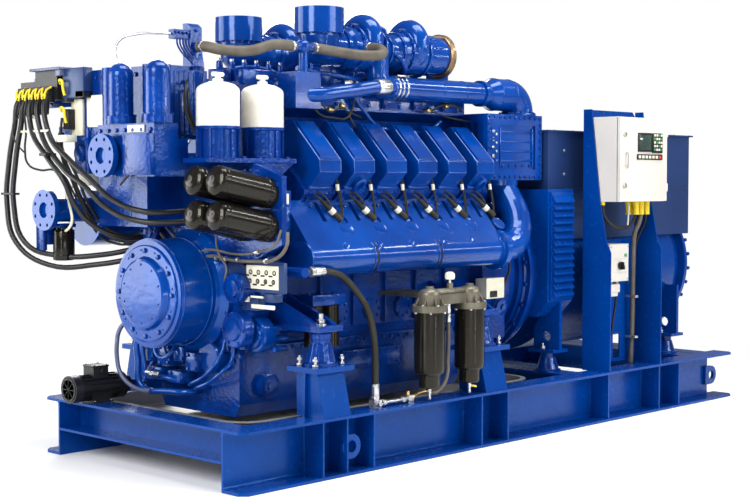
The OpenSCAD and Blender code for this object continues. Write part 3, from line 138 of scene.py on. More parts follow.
# Skid: two channel rails with welded stiffeners, closed by end beams and crossed by I-beams.
# The stiffeners carry fillet welds, which show as beads under the paint; the lifting lugs are welded on too.
# Its blue is sprayed over rolled steel: a little wavy, deeper where it lies thick, dusty on top.
FLANGE_EDGE = 0.795
RAIL_WEB = 0.662
RAIL_STIFFENERS = (-1.62, -1.46, -1.275, -0.45, -0.23, 0.715, 1.255, 1.48)
STIFFENER_HALF = 0.006
WELD_RADIUS = 0.004
DUST_TONE = (0.25, 0.33, 0.45)
SIDES = (-1, 1)


def weathered_film():
    """A node group: tone that drifts over the surface, dust on top, and the height of the film"""
    group = bpy.data.node_groups.new("weathered_film", "ShaderNodeTree")
    for way, kind, labels in (("INPUT", "Color", ("Tone", "Deep Tone", "Dust Color")),
                              ("INPUT", "Float", ("Dust", "Drift Scale", "Grain Scale", "Grain", "Gloss")),
                              ("OUTPUT", "Color", ("Color",)),
                              ("OUTPUT", "Float", ("Roughness", "Height"))):
        for label in labels:
            group.interface.new_socket(label, in_out=way, socket_type="NodeSocket" + kind)
    given = group.nodes.new("NodeGroupInput").outputs
    place = shade(group, "TexCoord").outputs["Object"]
    drift = shade(group, "TexNoise", {"Vector": place, "Scale": given["Drift Scale"], "Detail": 5})
    spread = shade(group, "MapRange", {"Value": drift.outputs["Fac"], "From Min": 0.35, "From Max": 0.65})
    tone = shade(group, "Mix", {"Factor": spread.outputs[0], "A": given["Deep Tone"], "B": given["Tone"]},
                 data_type="RGBA")
    facing = shade(group, "SeparateXYZ", {0: shade(group, "NewGeometry").outputs["Normal"]})
    upward = shade(group, "MapRange", {"Value": facing.outputs["Z"], "From Min": 0.55, "From Max": 1.0})
    speck = shade(group, "TexNoise", {"Vector": place, "Scale": 28, "Detail": 8}).outputs["Fac"]
    laid = shade(group, "Math", {0: upward.outputs[0], 1: speck}, operation="MULTIPLY")
    dusty = shade(group, "Math", {0: laid.outputs[0], 1: given["Dust"]}, operation="MULTIPLY").outputs[0]
    final = shade(group, "Mix", {"Factor": dusty, "A": tone.outputs["Result"], "B": given["Dust Color"]},
                  data_type="RGBA")
    rough = shade(group, "Math", {0: speck, 1: 0.12, 2: given["Gloss"]}, operation="MULTIPLY_ADD")
    cloudy = shade(group, "Math", {0: dusty, 1: 0.6, 2: rough.outputs[0]}, operation="MULTIPLY_ADD")
    peel = shade(group, "TexNoise", {"Vector": place, "Scale": given["Grain Scale"], "Detail": 3})
    lift = shade(group, "Math", {0: peel.outputs["Fac"], 1: given["Grain"]}, operation="MULTIPLY")
    fill(group, group.nodes.new("NodeGroupOutput"),
         {"Color": final.outputs["Result"], "Roughness": cloudy.outputs[0], "Height": lift.outputs[0]})
    return group


FILM = weathered_film()


def finish_coat(name, tone, deep, gloss, grain, grain_scale, drift, dust, metallic=0.0,
                coat=0.0, bump=0.0006, sheen=(1, 1, 1), mirror=0.5):
    """A material whose colour, gloss and grain come from the weathered film"""
    material = bpy.data.materials.new(name)
    material.use_nodes = True
    tree = material.node_tree
    film = shade(tree, "Group", {"Tone": (*tone, 1), "Deep Tone": (*deep, 1), "Dust Color": (*DUST_TONE, 1),
                                 "Dust": dust, "Drift Scale": drift, "Grain Scale": grain_scale, "Grain": grain,
                                 "Gloss": gloss}, node_tree=FILM).outputs
    relief = shade(tree, "Bump", {"Distance": bump, "Height": film["Height"]})
    fill(tree, tree.nodes["Principled BSDF"],
         {"Base Color": film["Color"], "Roughness": film["Roughness"], "Normal": relief.outputs["Normal"],
          "Metallic": metallic, "Coat Weight": coat, "Coat Roughness": 0.08, "Specular Tint": (*sheen, 1),
          "Specular IOR Level": mirror})
    return material


def coat_nodes(material, *names):
    """The finish of carried-over nodes of the frame"""
    for name in names:
        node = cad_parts[name]
        node.data.materials.clear()
        node.data.materials.append(material)


SKID_BLUE = finish_coat("skid_blue", (0.0, 0.042, 0.255), (0.0, 0.03, 0.19), 0.2, 0.4, 14, 1.6,
                        0.005, coat=0.04, bump=0.0014, sheen=(0.12, 0.42, 1.0))
coat_nodes(SKID_BLUE, "rail_near", "rail_far", "front_cross_beam", "inner_beams", "rear_cross_beam")


def run_of_pipe(points, radius, sides, smooth=True):
    """A pipe, lead or weld bead through its points, as a closed mesh"""
    line = bpy.data.curves.new("run", "CURVE")
    line.dimensions = "3D"
    line.bevel_depth = radius
    line.bevel_resolution = sides
    line.resolution_u = 6
    line.use_fill_caps = True
    spline = line.splines.new("BEZIER" if smooth else "POLY")
    if smooth:
        spline.bezier_points.add(len(points) - 1)
        for knot, point in zip(spline.bezier_points, points):
            knot.co = point
            knot.handle_left_type = "AUTO"
            knot.handle_right_type = "AUTO"
    else:
        spline.points.add(len(points) - 1)
        for knot, point in zip(spline.points, points):
            knot.co = (*point, 1)
    holder = bpy.data.objects.new("run", line)
    bpy.context.scene.collection.objects.link(holder)
    pick(holder)
    bpy.ops.object.convert(target="MESH")
    return bpy.context.object


def pick(*pieces):
    """Selects these pieces alone, the first one active"""
    bpy.ops.object.select_all(action="DESELECT")
    for piece in pieces:
        piece.select_set(True)
    bpy.context.view_layer.objects.active = pieces[0]


def joined(pieces):
    """One object out of several pieces"""
    pick(*pieces)
    if len(pieces) > 1:
        bpy.ops.object.join()
    return bpy.context.object


def keep(pieces, name, material, body=SET):
    """Names the finished piece, smooths its round faces, gives it its finish and its body"""
    piece = joined(pieces if isinstance(pieces, list) else [pieces])
    bpy.ops.object.transform_apply(location=True, rotation=True, scale=True)
    bpy.ops.object.shade_smooth_by_angle(angle=math.radians(38))
    piece.name = name
    piece.data.name = name
    piece.data.materials.clear()
    piece.data.materials.append(material)
    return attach(piece, body)


beads = []
for side in SIDES:
    for x in RAIL_STIFFENERS:
        for edge_x in (x - STIFFENER_HALF, x + STIFFENER_HALF):
            beads.append(run_of_pipe([(edge_x, side * (RAIL_WEB + 0.001), 0.02),
                                      (edge_x, side * (RAIL_WEB + 0.001), 0.27)], WELD_RADIUS, 1))
            beads.append(run_of_pipe([(edge_x, side * RAIL_WEB, 0.015), (edge_x, side * FLANGE_EDGE, 0.015)],
                                     WELD_RADIUS, 1))
keep(beads, "rail_weld_beads", SKID_BLUE)


# Drip tray: a folded stainless pan under the engine, its rolled rim standing above the rails.
# Years of wiping leave it dull and a little warm in tone.
DULL_STEEL = finish_coat("dull_steel", (0.5, 0.48, 0.43), (0.36, 0.35, 0.32), 0.38, 0.4, 160, 6, 0.2,
                         metallic=0.8)
coat_nodes(DULL_STEEL, "drip_tray")


# Engine pedestals: welded boxes with a bolted top plate, one under each corner of the engine.
# Each resilient mount is a ribbed iron bell held down by four studs, with a nut on its spindle.
# The engine's blue is glossier than the skid's, laid over the grain of its sand castings.
MOUNT_X = (-1.52, -0.32)
MOUNT_Y = 0.668
PLATE_TOP = 0.53
FOOT_TOP = 0.717
BLUE_SHEEN = (0.35, 0.55, 1.0)
CAST_BLUE = finish_coat("cast_blue", (0.0, 0.036, 0.245), (0.0, 0.018, 0.145), 0.12, 0.9, 48, 6.0,
                        0.02, coat=0.18, bump=0.003, sheen=BLUE_SHEEN)
BRIGHT_STEEL = finish_coat("bright_steel", (0.62, 0.62, 0.62), (0.42, 0.43, 0.45), 0.22, 0.3, 240, 20,
                           0.05, metallic=1.0)
coat_nodes(SKID_BLUE, "engine_pedestals")
coat_nodes(CAST_BLUE, "engine_mounts", "engine_feet")


def round_edges(piece, width):
    """A bevel along the sharp edges of the active piece"""
    edge = piece.modifiers.new("edge", "BEVEL")
    edge.width = width
    edge.segments = 2
    edge.limit_method = "ANGLE"
    edge.angle_limit = math.radians(35)
    bpy.ops.object.modifier_apply(modifier="edge")


def slab(low, high, edge):
    """A plate or block between two corners"""
    low, high = Vector(low), Vector(high)
    bpy.ops.mesh.primitive_cube_add(size=1, location=(low + high) / 2)
    piece = bpy.context.object
    piece.scale = high - low
    bpy.ops.object.transform_apply(location=True, rotation=True, scale=True)
    round_edges(piece, edge)
    return piece


def bar(start, end, radius, far_radius=None, edge=0.0015, sides=32):
    """A round bar or cone from one point to another"""
    start, end = Vector(start), Vector(end)
    axis = end - start
    bpy.ops.mesh.primitive_cone_add(vertices=sides, radius1=radius, depth=axis.length,
                                    radius2=radius if far_radius is None else far_radius,
                                    location=(start + end) / 2,
                                    rotation=axis.to_track_quat("Z", "Y").to_euler())
    piece = bpy.context.object
    bpy.ops.object.transform_apply(location=True, rotation=True, scale=True)
    if edge:
        round_edges(piece, edge)
    return piece


def rod(start, end, y, z, radius, *more, **options):
    """A round bar along the set, from one x to another"""
    return bar((start, y, z), (end, y, z), radius, *more, **options)


def post(x, y, start, end, radius, *more, **options):
    """An upright round bar, from one z to another"""
    return bar((x, y, start), (x, y, end), radius, *more, **options)


def turned(outline, foot, axis, sides=40):
    """A turned piece: rings of radius and height, drawn up one after another from its foot"""
    radius, height = outline[0]
    bpy.ops.mesh.primitive_circle_add(vertices=sides, radius=radius, fill_type="NGON",
                                      location=(0, 0, height))
    piece = bpy.context.object
    bpy.ops.object.transform_apply(location=True, rotation=True, scale=True)
    bpy.ops.object.mode_set(mode="EDIT")
    bpy.ops.mesh.select_all(action="SELECT")
    for next_radius, next_height in outline[1:]:
        bpy.ops.mesh.extrude_region_move(
            TRANSFORM_OT_translate={"value": (0, 0, next_height - height)})
        share = next_radius / radius
        bpy.ops.transform.resize(value=(share, share, 1), center_override=(0, 0, next_height))
        radius, height = next_radius, next_height
    bpy.ops.mesh.select_all(action="SELECT")
    bpy.ops.mesh.normals_make_consistent(inside=False)
    bpy.ops.object.mode_set(mode="OBJECT")
    piece.data.transform(Matrix.Translation(foot) @ Vector(axis).to_track_quat("Z", "Y").to_matrix().to_4x4())
    return piece


def hex_bolt(width):
    """A bolt head on its washer, standing on the origin along Z"""
    washer = post(0, 0, -0.001, width * 0.08, width * 0.64, edge=0, sides=16)
    head = post(0, 0, width * 0.08, width * 0.44, width * 0.56, edge=width * 0.03, sides=6)
    return joined([washer, head])


def set_out(model, places):
    """Copies of a modelled piece set out at places, each a point and the direction it faces"""
    gathered = bmesh.new()
    for point, outward in places:
        copy = model.data.copy()
        turn = Vector(outward).normalized().to_track_quat("Z", "Y").to_matrix().to_4x4()
        copy.transform(Matrix.Translation(point) @ turn)
        gathered.from_mesh(copy)
        bpy.data.meshes.remove(copy)
    mesh = bpy.data.meshes.new("set_out")
    gathered.to_mesh(mesh)
    gathered.free()
    bpy.data.objects.remove(model)
    piece = bpy.data.objects.new("set_out", mesh)
    bpy.context.scene.collection.objects.link(piece)
    return piece


def keep_bolts(width, places, name, material=CAST_BLUE):
    """Like bolts as one finished piece, a head at each place"""
    keep(set_out(hex_bolt(width), places), name, material)


def ring_of(centre, axis, radius, count, start=0.0, sweep=360.0):
    """Places round a circle, all facing along its axis"""
    turn = Vector(axis).normalized().to_track_quat("Z", "Y")
    step = sweep / (count if sweep == 360.0 else count - 1)
    return [(Vector(centre) + turn @ Vector((radius * math.cos(math.radians(start + k * step)),
                                             radius * math.sin(math.radians(start + k * step)), 0)), axis)
            for k in range(count)]


def row_of(start, end, count, outward):
    """Places along a line, all facing the same way"""
    start, end = Vector(start), Vector(end)
    return [(start.lerp(end, k / max(count - 1, 1)), outward) for k in range(count)]


studs, ribs = [], []
for side in SIDES:
    for x in MOUNT_X:
        y = side * MOUNT_Y
        for dx, dy in ((-0.088, -0.055), (-0.088, 0.055), (0.088, -0.055), (0.088, 0.055)):
            for low, high, radius, sides in ((0, 0.05, 0.007, 12), (0, 0.014, 0.0155, 6), (0.027, 0.04, 0.0145, 6)):
                studs.append(post(x + dx, y + dy, PLATE_TOP + low, PLATE_TOP + high, radius, sides=sides))
        for low, high, radius, sides in ((0, 0.012, 0.03, 24), (0.012, 0.034, 0.025, 6), (0.034, 0.062, 0.013, 16)):
            studs.append(post(x, y, FOOT_TOP + low, FOOT_TOP + high, radius, sides=sides))
        for k in range(12):
            a = math.radians(30 * k)
            foot = Vector((x + 0.068 * math.cos(a), y + 0.068 * math.sin(a), PLATE_TOP + 0.02))
            top = Vector((x + 0.046 * math.cos(a), y + 0.046 * math.sin(a), PLATE_TOP + 0.112))
            ribs.append(bar(foot, top, 0.0065, 0.0045, edge=0, sides=8))
keep(studs, "mount_studs", BRIGHT_STEEL)
keep(ribs, "mount_ribs", CAST_BLUE)


# Oil sump and crankcase: iron castings bolted flange to flange, with round doors over the cranks.
# Small bolts hold the flange, the doors have a star of bolts, and cast ribs stiffen the walls.
coat_nodes(CAST_BLUE, "oil_sump", "crankcase")
SUMP_END_X = -1.757
SUMP_FLANGE_Z = 0.588
SUMP_HALF = 0.33
CASE_HALF = 0.35
BANK_TILT = math.sqrt(0.5)
CRANK_Z = 0.87
CYLINDER_X = tuple(-1.35 + 0.24 * k for k in range(6))


def on_bank(x, u, v, side):
    """A point on a bank of cylinders: u across the heads, v up the cylinders"""
    return Vector((x, -side * (u - v) * BANK_TILT, CRANK_Z + (u + v) * BANK_TILT))


def bank_out(side):
    """The way that the outer face of a bank looks"""
    return Vector((0, side * BANK_TILT, -BANK_TILT))


def bank_up(side):
    """The way that the cylinders of a bank point"""
    return Vector((0, side * BANK_TILT, BANK_TILT))


flange_bolts, door_bolts, webs = [], [], []
for side in SIDES:
    flange_bolts += row_of((-1.72, side * SUMP_HALF, SUMP_FLANGE_Z - 0.006),
                           (-0.08, side * SUMP_HALF, SUMP_FLANGE_Z - 0.006), 26, (0, side, 0))
    for x in CYLINDER_X[1:4]:
        centre = (x + 0.024, side * (CASE_HALF + 0.012), 0.74)
        door_bolts += ring_of(centre, (0, side, 0), 0.05, 8)
    for x in CYLINDER_X:
        webs.append(slab((x - 0.128, side * (CASE_HALF + 0.008) - 0.014, 0.665),
                         (x - 0.114, side * (CASE_HALF + 0.008) + 0.014, 0.98), 0.005))
keep_bolts(0.019, flange_bolts, "sump_flange_bolts")
keep_bolts(0.014, door_bolts, "crank_door_bolts")
keep(webs, "crankcase_ribs", CAST_BLUE)
keep([slab((-1.742, -0.345, 0.594), (-0.066, 0.345, 0.606), 0.003)], "sump_gasket_edge", CAST_BLUE)
keep_bolts(0.022, row_of((SUMP_END_X, -0.3, 0.586), (SUMP_END_X, 0.3, 0.586), 9, (-1, 0, 0)), "sump_end_bolts")


# Sump covers: a round cover low on the sump with a ring of bolts, a hexagon drain plug,
# and a long plate over the oil pick-up, held along both edges.
sump_fittings = [turned([(0.062, 0), (0.062, 0.01), (0.052, 0.014), (0.02, 0.014), (0.02, 0.022)],
                        (-1.56, -0.336, 0.4), (0, -1, 0)),
                 bar((-1.2, -0.322, 0.34), (-1.2, -0.346, 0.34), 0.026, sides=6),
                 slab((-1.05, -0.348, 0.43), (-0.62, -0.33, 0.53), 0.004)]
keep(sump_fittings, "sump_covers", CAST_BLUE)
keep_bolts(0.012, ring_of((-1.56, -0.346, 0.4), (0, -1, 0), 0.05, 6)
           + row_of((-1.03, -0.348, 0.445), (-0.64, -0.348, 0.445), 6, (0, -1, 0))
           + row_of((-1.03, -0.348, 0.515), (-0.64, -0.348, 0.515), 6, (0, -1, 0)), "sump_cover_bolts")


# Gear case: a deep casting across the free end with lobes round the pump drives.
# Bolts follow its outline, ribs run out from the crankshaft, and round covers close the drives.
coat_nodes(CAST_BLUE, "gear_case")
LOBE_RADIUS = 0.134
GEAR_FACE_X = -1.76
gear_bolts = []
for y, z, r, a0, a1, count in ((0, CRANK_Z, 0.382, 196, 344, 16), (-0.38, 1.21, LOBE_RADIUS, 100, 230, 6),
                               (-0.26, 0.66, LOBE_RADIUS, 150, 250, 5), (0.26, 0.66, LOBE_RADIUS, 290, 390, 5),
                               (0.52, 1.22, LOBE_RADIUS, -40, 90, 5)):
    for k in range(count):
        a = math.radians(a0 + (a1 - a0) * k / (count - 1))
        gear_bolts.append(((GEAR_FACE_X, y + r * math.cos(a), z + r * math.sin(a)), (-1, 0, 0)))
keep_bolts(0.022, gear_bolts, "gear_case_bolts")
gear_ribs = []
for degrees in (188, 205, 222, 239, 256, 273, 290, 307, 324, 341, 358, 160, 20):
    a = math.radians(degrees)
    gear_ribs.append(bar((GEAR_FACE_X + 0.002, 0.306 * math.cos(a), CRANK_Z + 0.306 * math.sin(a)),
                         (GEAR_FACE_X + 0.002, 0.372 * math.cos(a), CRANK_Z + 0.372 * math.sin(a)),
                         0.011, 0.007, edge=0, sides=10))
keep(gear_ribs, "gear_case_ribs", CAST_BLUE)
drive_covers, drive_bolts = [], []
for y, z, r, depth in ((-0.4, 0.905, 0.075, 0.06), (-0.37, 0.7, 0.088, 0.034), (0.3, 1.16, 0.07, 0.034),
                       (0.4, 0.95, 0.085, 0.034)):
    drive_covers.append(turned([(r, 0), (r, 0.02), (r - 0.006, 0.026), (r * 0.62, 0.026), (r * 0.55, 0.036),
                                (r * 0.3, 0.04)], (GEAR_FACE_X - depth, y, z), (-1, 0, 0)))
    drive_bolts += ring_of((GEAR_FACE_X - depth - 0.026, y, z), (-1, 0, 0), r * 0.82, 6)
keep(drive_covers, "pump_drive_covers", CAST_BLUE)
keep_bolts(0.015, drive_bolts, "pump_drive_bolts")


# Oil and water pumps: round housings beside and under the damper, painted like the covers.
# The smoother blue of the covers is the engine's paint over machined and pressed skins.
COVER_BLUE = finish_coat("cover_blue", (0.0, 0.045, 0.27), (0.0, 0.028, 0.19), 0.09, 0.7, 24, 4.0,
                         0.01, coat=0.22, bump=0.0018, sheen=BLUE_SHEEN)
side_pumps = [turned([(0.088, -0.04), (0.088, 0.02), (0.08, 0.028), (0.03, 0.03)], (-1.69, -0.4, 0.668),
                     (-1, 0, 0), 56),
              rod(-1.735, -1.6, -0.4, 0.668, 0.064, edge=0.004, sides=48),
              turned([(0.08, -0.06), (0.08, 0.018), (0.072, 0.026), (0.03, 0.028)], (-1.772, -0.15, 0.545),
                     (-1, 0, 0), 56)]
for k in range(3):
    side_pumps.append(bar((-1.65, -0.462 - 0.004 * k, 0.7 - 0.05 * k), (-1.56, -0.462, 0.7 - 0.05 * k), 0.016,
                          sides=16))
keep(side_pumps, "side_pumps", COVER_BLUE)


# Valve blocks under the damper: small castings bolted to the gear case's foot, with oil and water
# pipes looped round them, a union in one of the pipes, and a pale plastic hose outside them.
LID_GREY = finish_coat("lid_grey", (0.1, 0.12, 0.22), (0.07, 0.085, 0.17), 0.3, 0.3, 60, 4, 0.05)
BLOCK_FACE_X = -1.835
front_castings = [slab((BLOCK_FACE_X, *low), (-1.74, *high), 0.006) for low, high in (
    ((0.251, 0.492), (0.309, 0.58)), ((0.11, 0.484), (0.208, 0.588)), ((-0.003, 0.514), (0.077, 0.588)),
    ((-0.106, 0.473), (-0.02, 0.566)), ((0.177, 0.406), (0.277, 0.469)), ((0.014, 0.402), (0.127, 0.462)))]
front_castings += [run_of_pipe(route, radius, 4) for radius, route in (
    (0.016, ((-1.8, 0.323, 0.643), (-1.87, 0.323, 0.613), (-1.87, 0.325, 0.499), (-1.87, 0.317, 0.396),
             (-1.86, 0.272, 0.354), (-1.84, 0.14, 0.355), (-1.8, -0.012, 0.361), (-1.735, -0.012, 0.361))),
    (0.014, ((-1.8, 0.286, 0.635), (-1.86, 0.286, 0.605), (-1.86, 0.287, 0.491), (-1.86, 0.271, 0.431),
             (-1.84, 0.18, 0.427), (-1.8, 0.028, 0.418), (-1.735, 0.028, 0.418))),
    (0.012, ((-1.86, 0.185, 0.602), (-1.875, 0.166, 0.554), (-1.875, 0.109, 0.529), (-1.86, 0.055, 0.562),
             (-1.83, 0.06, 0.595))),
    (0.01, ((-1.735, -0.037, 0.401), (-1.82, -0.037, 0.401), (-1.84, -0.157, 0.45), (-1.84, -0.25, 0.517),
             (-1.8, -0.263, 0.584), (-1.78, -0.263, 0.64))),
    (0.01, ((-1.735, -0.084, 0.386), (-1.82, -0.084, 0.386), (-1.84, -0.203, 0.429), (-1.84, -0.31, 0.494),
             (-1.79, -0.318, 0.538), (-1.77, -0.318, 0.64))))]
keep(front_castings, "front_castings", COVER_BLUE)
front_bolts = [((BLOCK_FACE_X, y, z), (-1, 0, 0)) for y, z in (
    (0.286, 0.567), (0.261, 0.507), (0.185, 0.575), (0.119, 0.58), (0.186, 0.493), (0.12, 0.499), (0.054, 0.575),
    (0.006, 0.529), (-0.042, 0.553), (-0.097, 0.558), (-0.041, 0.483), (-0.096, 0.488), (0.245, 0.457),
    (0.187, 0.421), (0.096, 0.45), (0.024, 0.417))]
keep_bolts(0.017, front_bolts, "front_casting_bolts")
keep([run_of_pipe([(-1.88, 0.343, 0.695), (-1.89, 0.415, 0.68), (-1.9, 0.445, 0.642), (-1.92, 0.436, 0.587),
                   (-1.92, 0.437, 0.504), (-1.92, 0.412, 0.434), (-1.91, 0.366, 0.385), (-1.89, 0.299, 0.354),
                   (-1.87, 0.225, 0.349)], 0.0115, 4)], "pale_hose", LID_GREY)
keep([bar((-1.875, 0.242, 0.445), (-1.86, 0.154, 0.442), 0.017, edge=0.003, sides=20),
      bar((-1.874, 0.219, 0.445), (-1.868, 0.193, 0.443), 0.021, edge=0.003, sides=6)], "front_union", BRIGHT_STEEL)


# Diagram plate: a white plate with eight pictogram rings on a slate panel beside the damper,
# with a red tag at its right end and a few pale connector blocks under it.
IVORY_PLASTIC = finish_coat("ivory_plastic", (0.74, 0.72, 0.58), (0.66, 0.63, 0.48), 0.34, 0.2, 120, 9,
                            0.05)
BLACK_PLASTIC = finish_coat("black_plastic", (0.013, 0.013, 0.014), (0.008, 0.008, 0.009), 0.3, 0.5,
                            420, 9, 0.03, mirror=0.35)
SIGNAL_RED = finish_coat("signal_red", (0.62, 0.05, 0.03), (0.48, 0.03, 0.02), 0.35, 0.2, 90, 8, 0.05)
SLATE = finish_coat("slate_paint", (0.014, 0.035, 0.12), (0.009, 0.024, 0.09), 0.28, 0.4, 40, 2.2,
                    0.06, sheen=(0.6, 0.75, 1.0))
PLATE_FACE_X = -1.794
PLATE_BACK_X = -1.79
keep([slab((PLATE_FACE_X, -0.668, 0.906), (PLATE_BACK_X, -0.44, 1.018), 0.001)], "diagram_plate", IVORY_PLASTIC)
dots = []
for row, z in ((0, 0.985), (1, 0.942)):
    for k in range(4):
        dots.append(turned([(0.013, 0), (0.013, 0.0015), (0.0085, 0.0015), (0.0085, 0)],
                           (PLATE_FACE_X, -0.64 + 0.056 * k + 0.006 * row, z), (-1, 0, 0), 20))
        dots.append(slab((-1.7955, -0.628 + 0.056 * k, z - 0.02), (PLATE_FACE_X, -0.6 + 0.056 * k, z - 0.012), 0.0003))
keep(dots, "diagram_dots", BLACK_PLASTIC)
keep([slab((-1.8, -0.388, 0.908), (-1.792, -0.34, 0.973), 0.001)], "red_tag", SIGNAL_RED)
keep([slab((-1.801, -0.414, 0.918), (-1.793, -0.388, 0.955), 0.001)], "tag_edge", IVORY_PLASTIC)
keep([slab((PLATE_BACK_X, -0.7, 0.89), (-1.765, -0.3, 1.035), 0.004),
      slab((PLATE_BACK_X, -0.64, 0.845), (-1.74, -0.56, 0.885), 0.004),
      slab((PLATE_BACK_X, -0.52, 0.8), (-1.745, -0.4, 0.86), 0.004)], "diagram_panel", SLATE)
keep([slab((-1.796, -0.56, 0.862), (-1.788, -0.47, 0.872), 0.001),
      slab((-1.8, -0.64, 0.812), (-1.788, -0.48, 0.832), 0.003),
      slab((-1.8, -0.46, 0.84), (-1.788, -0.39, 0.868), 0.003)], "panel_blocks", IVORY_PLASTIC)


# Sensor cables: grey sheathed runs across the gear case, tied together with bright bands.
# They pass over the damper's shoulder to the side of the engine.
GREY_HOSE = finish_coat("grey_hose", (0.115, 0.1, 0.082), (0.07, 0.06, 0.048), 0.5, 0.8, 260, 12,
                        0.15)
GREY_RUNS = (((-1.8, 0.216, 1.153), (-1.825, 0.102, 1.081), (-1.835, -0.034, 1.012), (-1.835, -0.213, 1.052),
              (-1.835, -0.401, 1.039), (-1.835, -0.56, 1.041), (-1.835, -0.7, 1.058), (-1.815, -0.745, 1.11),
              (-1.795, -0.735, 1.18)),
             ((-1.8, 0.18, 1.19), (-1.83, 0.06, 1.13), (-1.845, -0.06, 1.065), (-1.845, -0.24, 1.085),
              (-1.845, -0.42, 1.07), (-1.845, -0.58, 1.085), (-1.825, -0.68, 1.12), (-1.795, -0.69, 1.19)),
             ((-1.79, -0.225, 1.175), (-1.83, -0.26, 1.12), (-1.842, -0.3, 1.06), (-1.842, -0.35, 1.0),
              (-1.835, -0.33, 0.94), (-1.8, -0.3, 0.9)))
keep([run_of_pipe(route, 0.0085 if k == 0 else 0.006, 3) for k, route in enumerate(GREY_RUNS)], "grey_cables",
     GREY_HOSE)
keep([bar((-1.835, y, 1.043), (-1.835, y - 0.012, 1.043), 0.0125, sides=16) for y in (-0.26, -0.33, -0.42, -0.62)]
     + [bar((-1.845, -0.56, 1.08), (-1.845, -0.586, 1.086), 0.011, sides=16)], "cable_ties", BRIGHT_STEEL)


# Damper housing: a drum over the vibration damper, closed by a dished cover with a ring of bolts.
# Dowel pins stand between the bolts, and turned rims run round the cover and the drum.
coat_nodes(COVER_BLUE, "damper_housing", "damper_cover")
COVER_BOLT_X = -2.0625
keep_bolts(0.022, ring_of((COVER_BOLT_X, 0, CRANK_Z), (-1, 0, 0), 0.21, 12), "damper_cover_bolts")
keep_bolts(0.009, ring_of((-2.0885, 0, CRANK_Z), (-1, 0, 0), 0.143, 10, 18)
           + ring_of((COVER_BOLT_X, 0, CRANK_Z), (-1, 0, 0), 0.214, 12, 9), "damper_cover_pins")
keep_bolts(0.022, ring_of((-1.79, 0, CRANK_Z), (-1, 0, 0), 0.293, 20), "damper_housing_bolts")
keep([turned([(0.252, 0), (0.262, 0.004), (0.262, 0.01), (0.24, 0.012)], (-2.0405, 0, CRANK_Z), (-1, 0, 0), 96)]
     + [rod(x, x + 0.012, 0, CRANK_Z, 0.2705, edge=0.004, sides=96) for x in (-2.035, -1.865)],
     "damper_cover_rim", COVER_BLUE)


# Cylinder heads: one casting a cylinder, held by cap screws, with the fuel pipe's sleeve below.
# A tall valve cover stands on each, and two of the covers carry an oval boss.
coat_nodes(CAST_BLUE, "cylinder_heads")
coat_nodes(COVER_BLUE, "valve_covers")
HEAD_FOOT = 0.53
COVER_FOOT = 0.7
cover_rims, cover_screws, head_screws, bosses = [], [], [], []
for side in SIDES:
    outward, upward = bank_out(side), bank_up(side)
    for k, x in enumerate(CYLINDER_X):
        for dx in (-0.068, 0.068):
            cover_screws.append((on_bank(x + dx, 0.006, COVER_FOOT - 0.012, side), upward))
            head_screws.append((on_bank(x + dx, 0.0, HEAD_FOOT + 0.03, side), outward))
            head_screws.append((on_bank(x + dx, 0.0, HEAD_FOOT + 0.125, side), outward))
        low = on_bank(x, 0.02, COVER_FOOT + 0.006, side)
        rim = slab((-0.079, -0.01, -0.012), (0.079, 0.01, 0.012), 0.004)
        rim.data.transform(Matrix.Translation(low) @ upward.to_track_quat("Z", "X").to_matrix().to_4x4()
                           @ Matrix.Rotation(math.radians(90), 4, "Z"))
        cover_rims.append(rim)
        if k in (1, 5):
            centre = on_bank(x + 0.008, 0.022, COVER_FOOT + 0.04, side)
            boss = turned([(0.034, -0.002), (0.034, 0.014), (0.028, 0.018), (0.02, 0.018), (0.018, 0.008)],
                          centre, outward, 32)
            stretch = Matrix.Translation(centre) @ Matrix.Diagonal((1.0, 1.35, 1.35, 1)) @ Matrix.Translation(-centre)
            boss.data.transform(stretch)
            bosses.append(boss)
for side in SIDES:
    for x in CYLINDER_X:
        for dx in (-0.0722, 0.0722):
            cover_rims.append(run_of_pipe([on_bank(x + dx, u, v, side) for u, v in
                                           ((0.0225, 0.716), (0.0225, 0.8158), (0.0646, 0.8575), (0.3, 0.8575))],
                                          0.0042, 2, smooth=False))
        for u, v in ((0.0222, 0.8158), (0.064, 0.8578)):
            cover_rims.append(bar(on_bank(x - 0.07, u, v, side), on_bank(x + 0.07, u, v, side), 0.0036, edge=0,
                                  sides=10))
keep(cover_rims, "valve_cover_rims", COVER_BLUE)
keep(bosses, "valve_cover_bosses", COVER_BLUE)
keep_bolts(0.016, cover_screws, "valve_cover_screws")
keep_bolts(0.024, head_screws, "cylinder_head_screws")


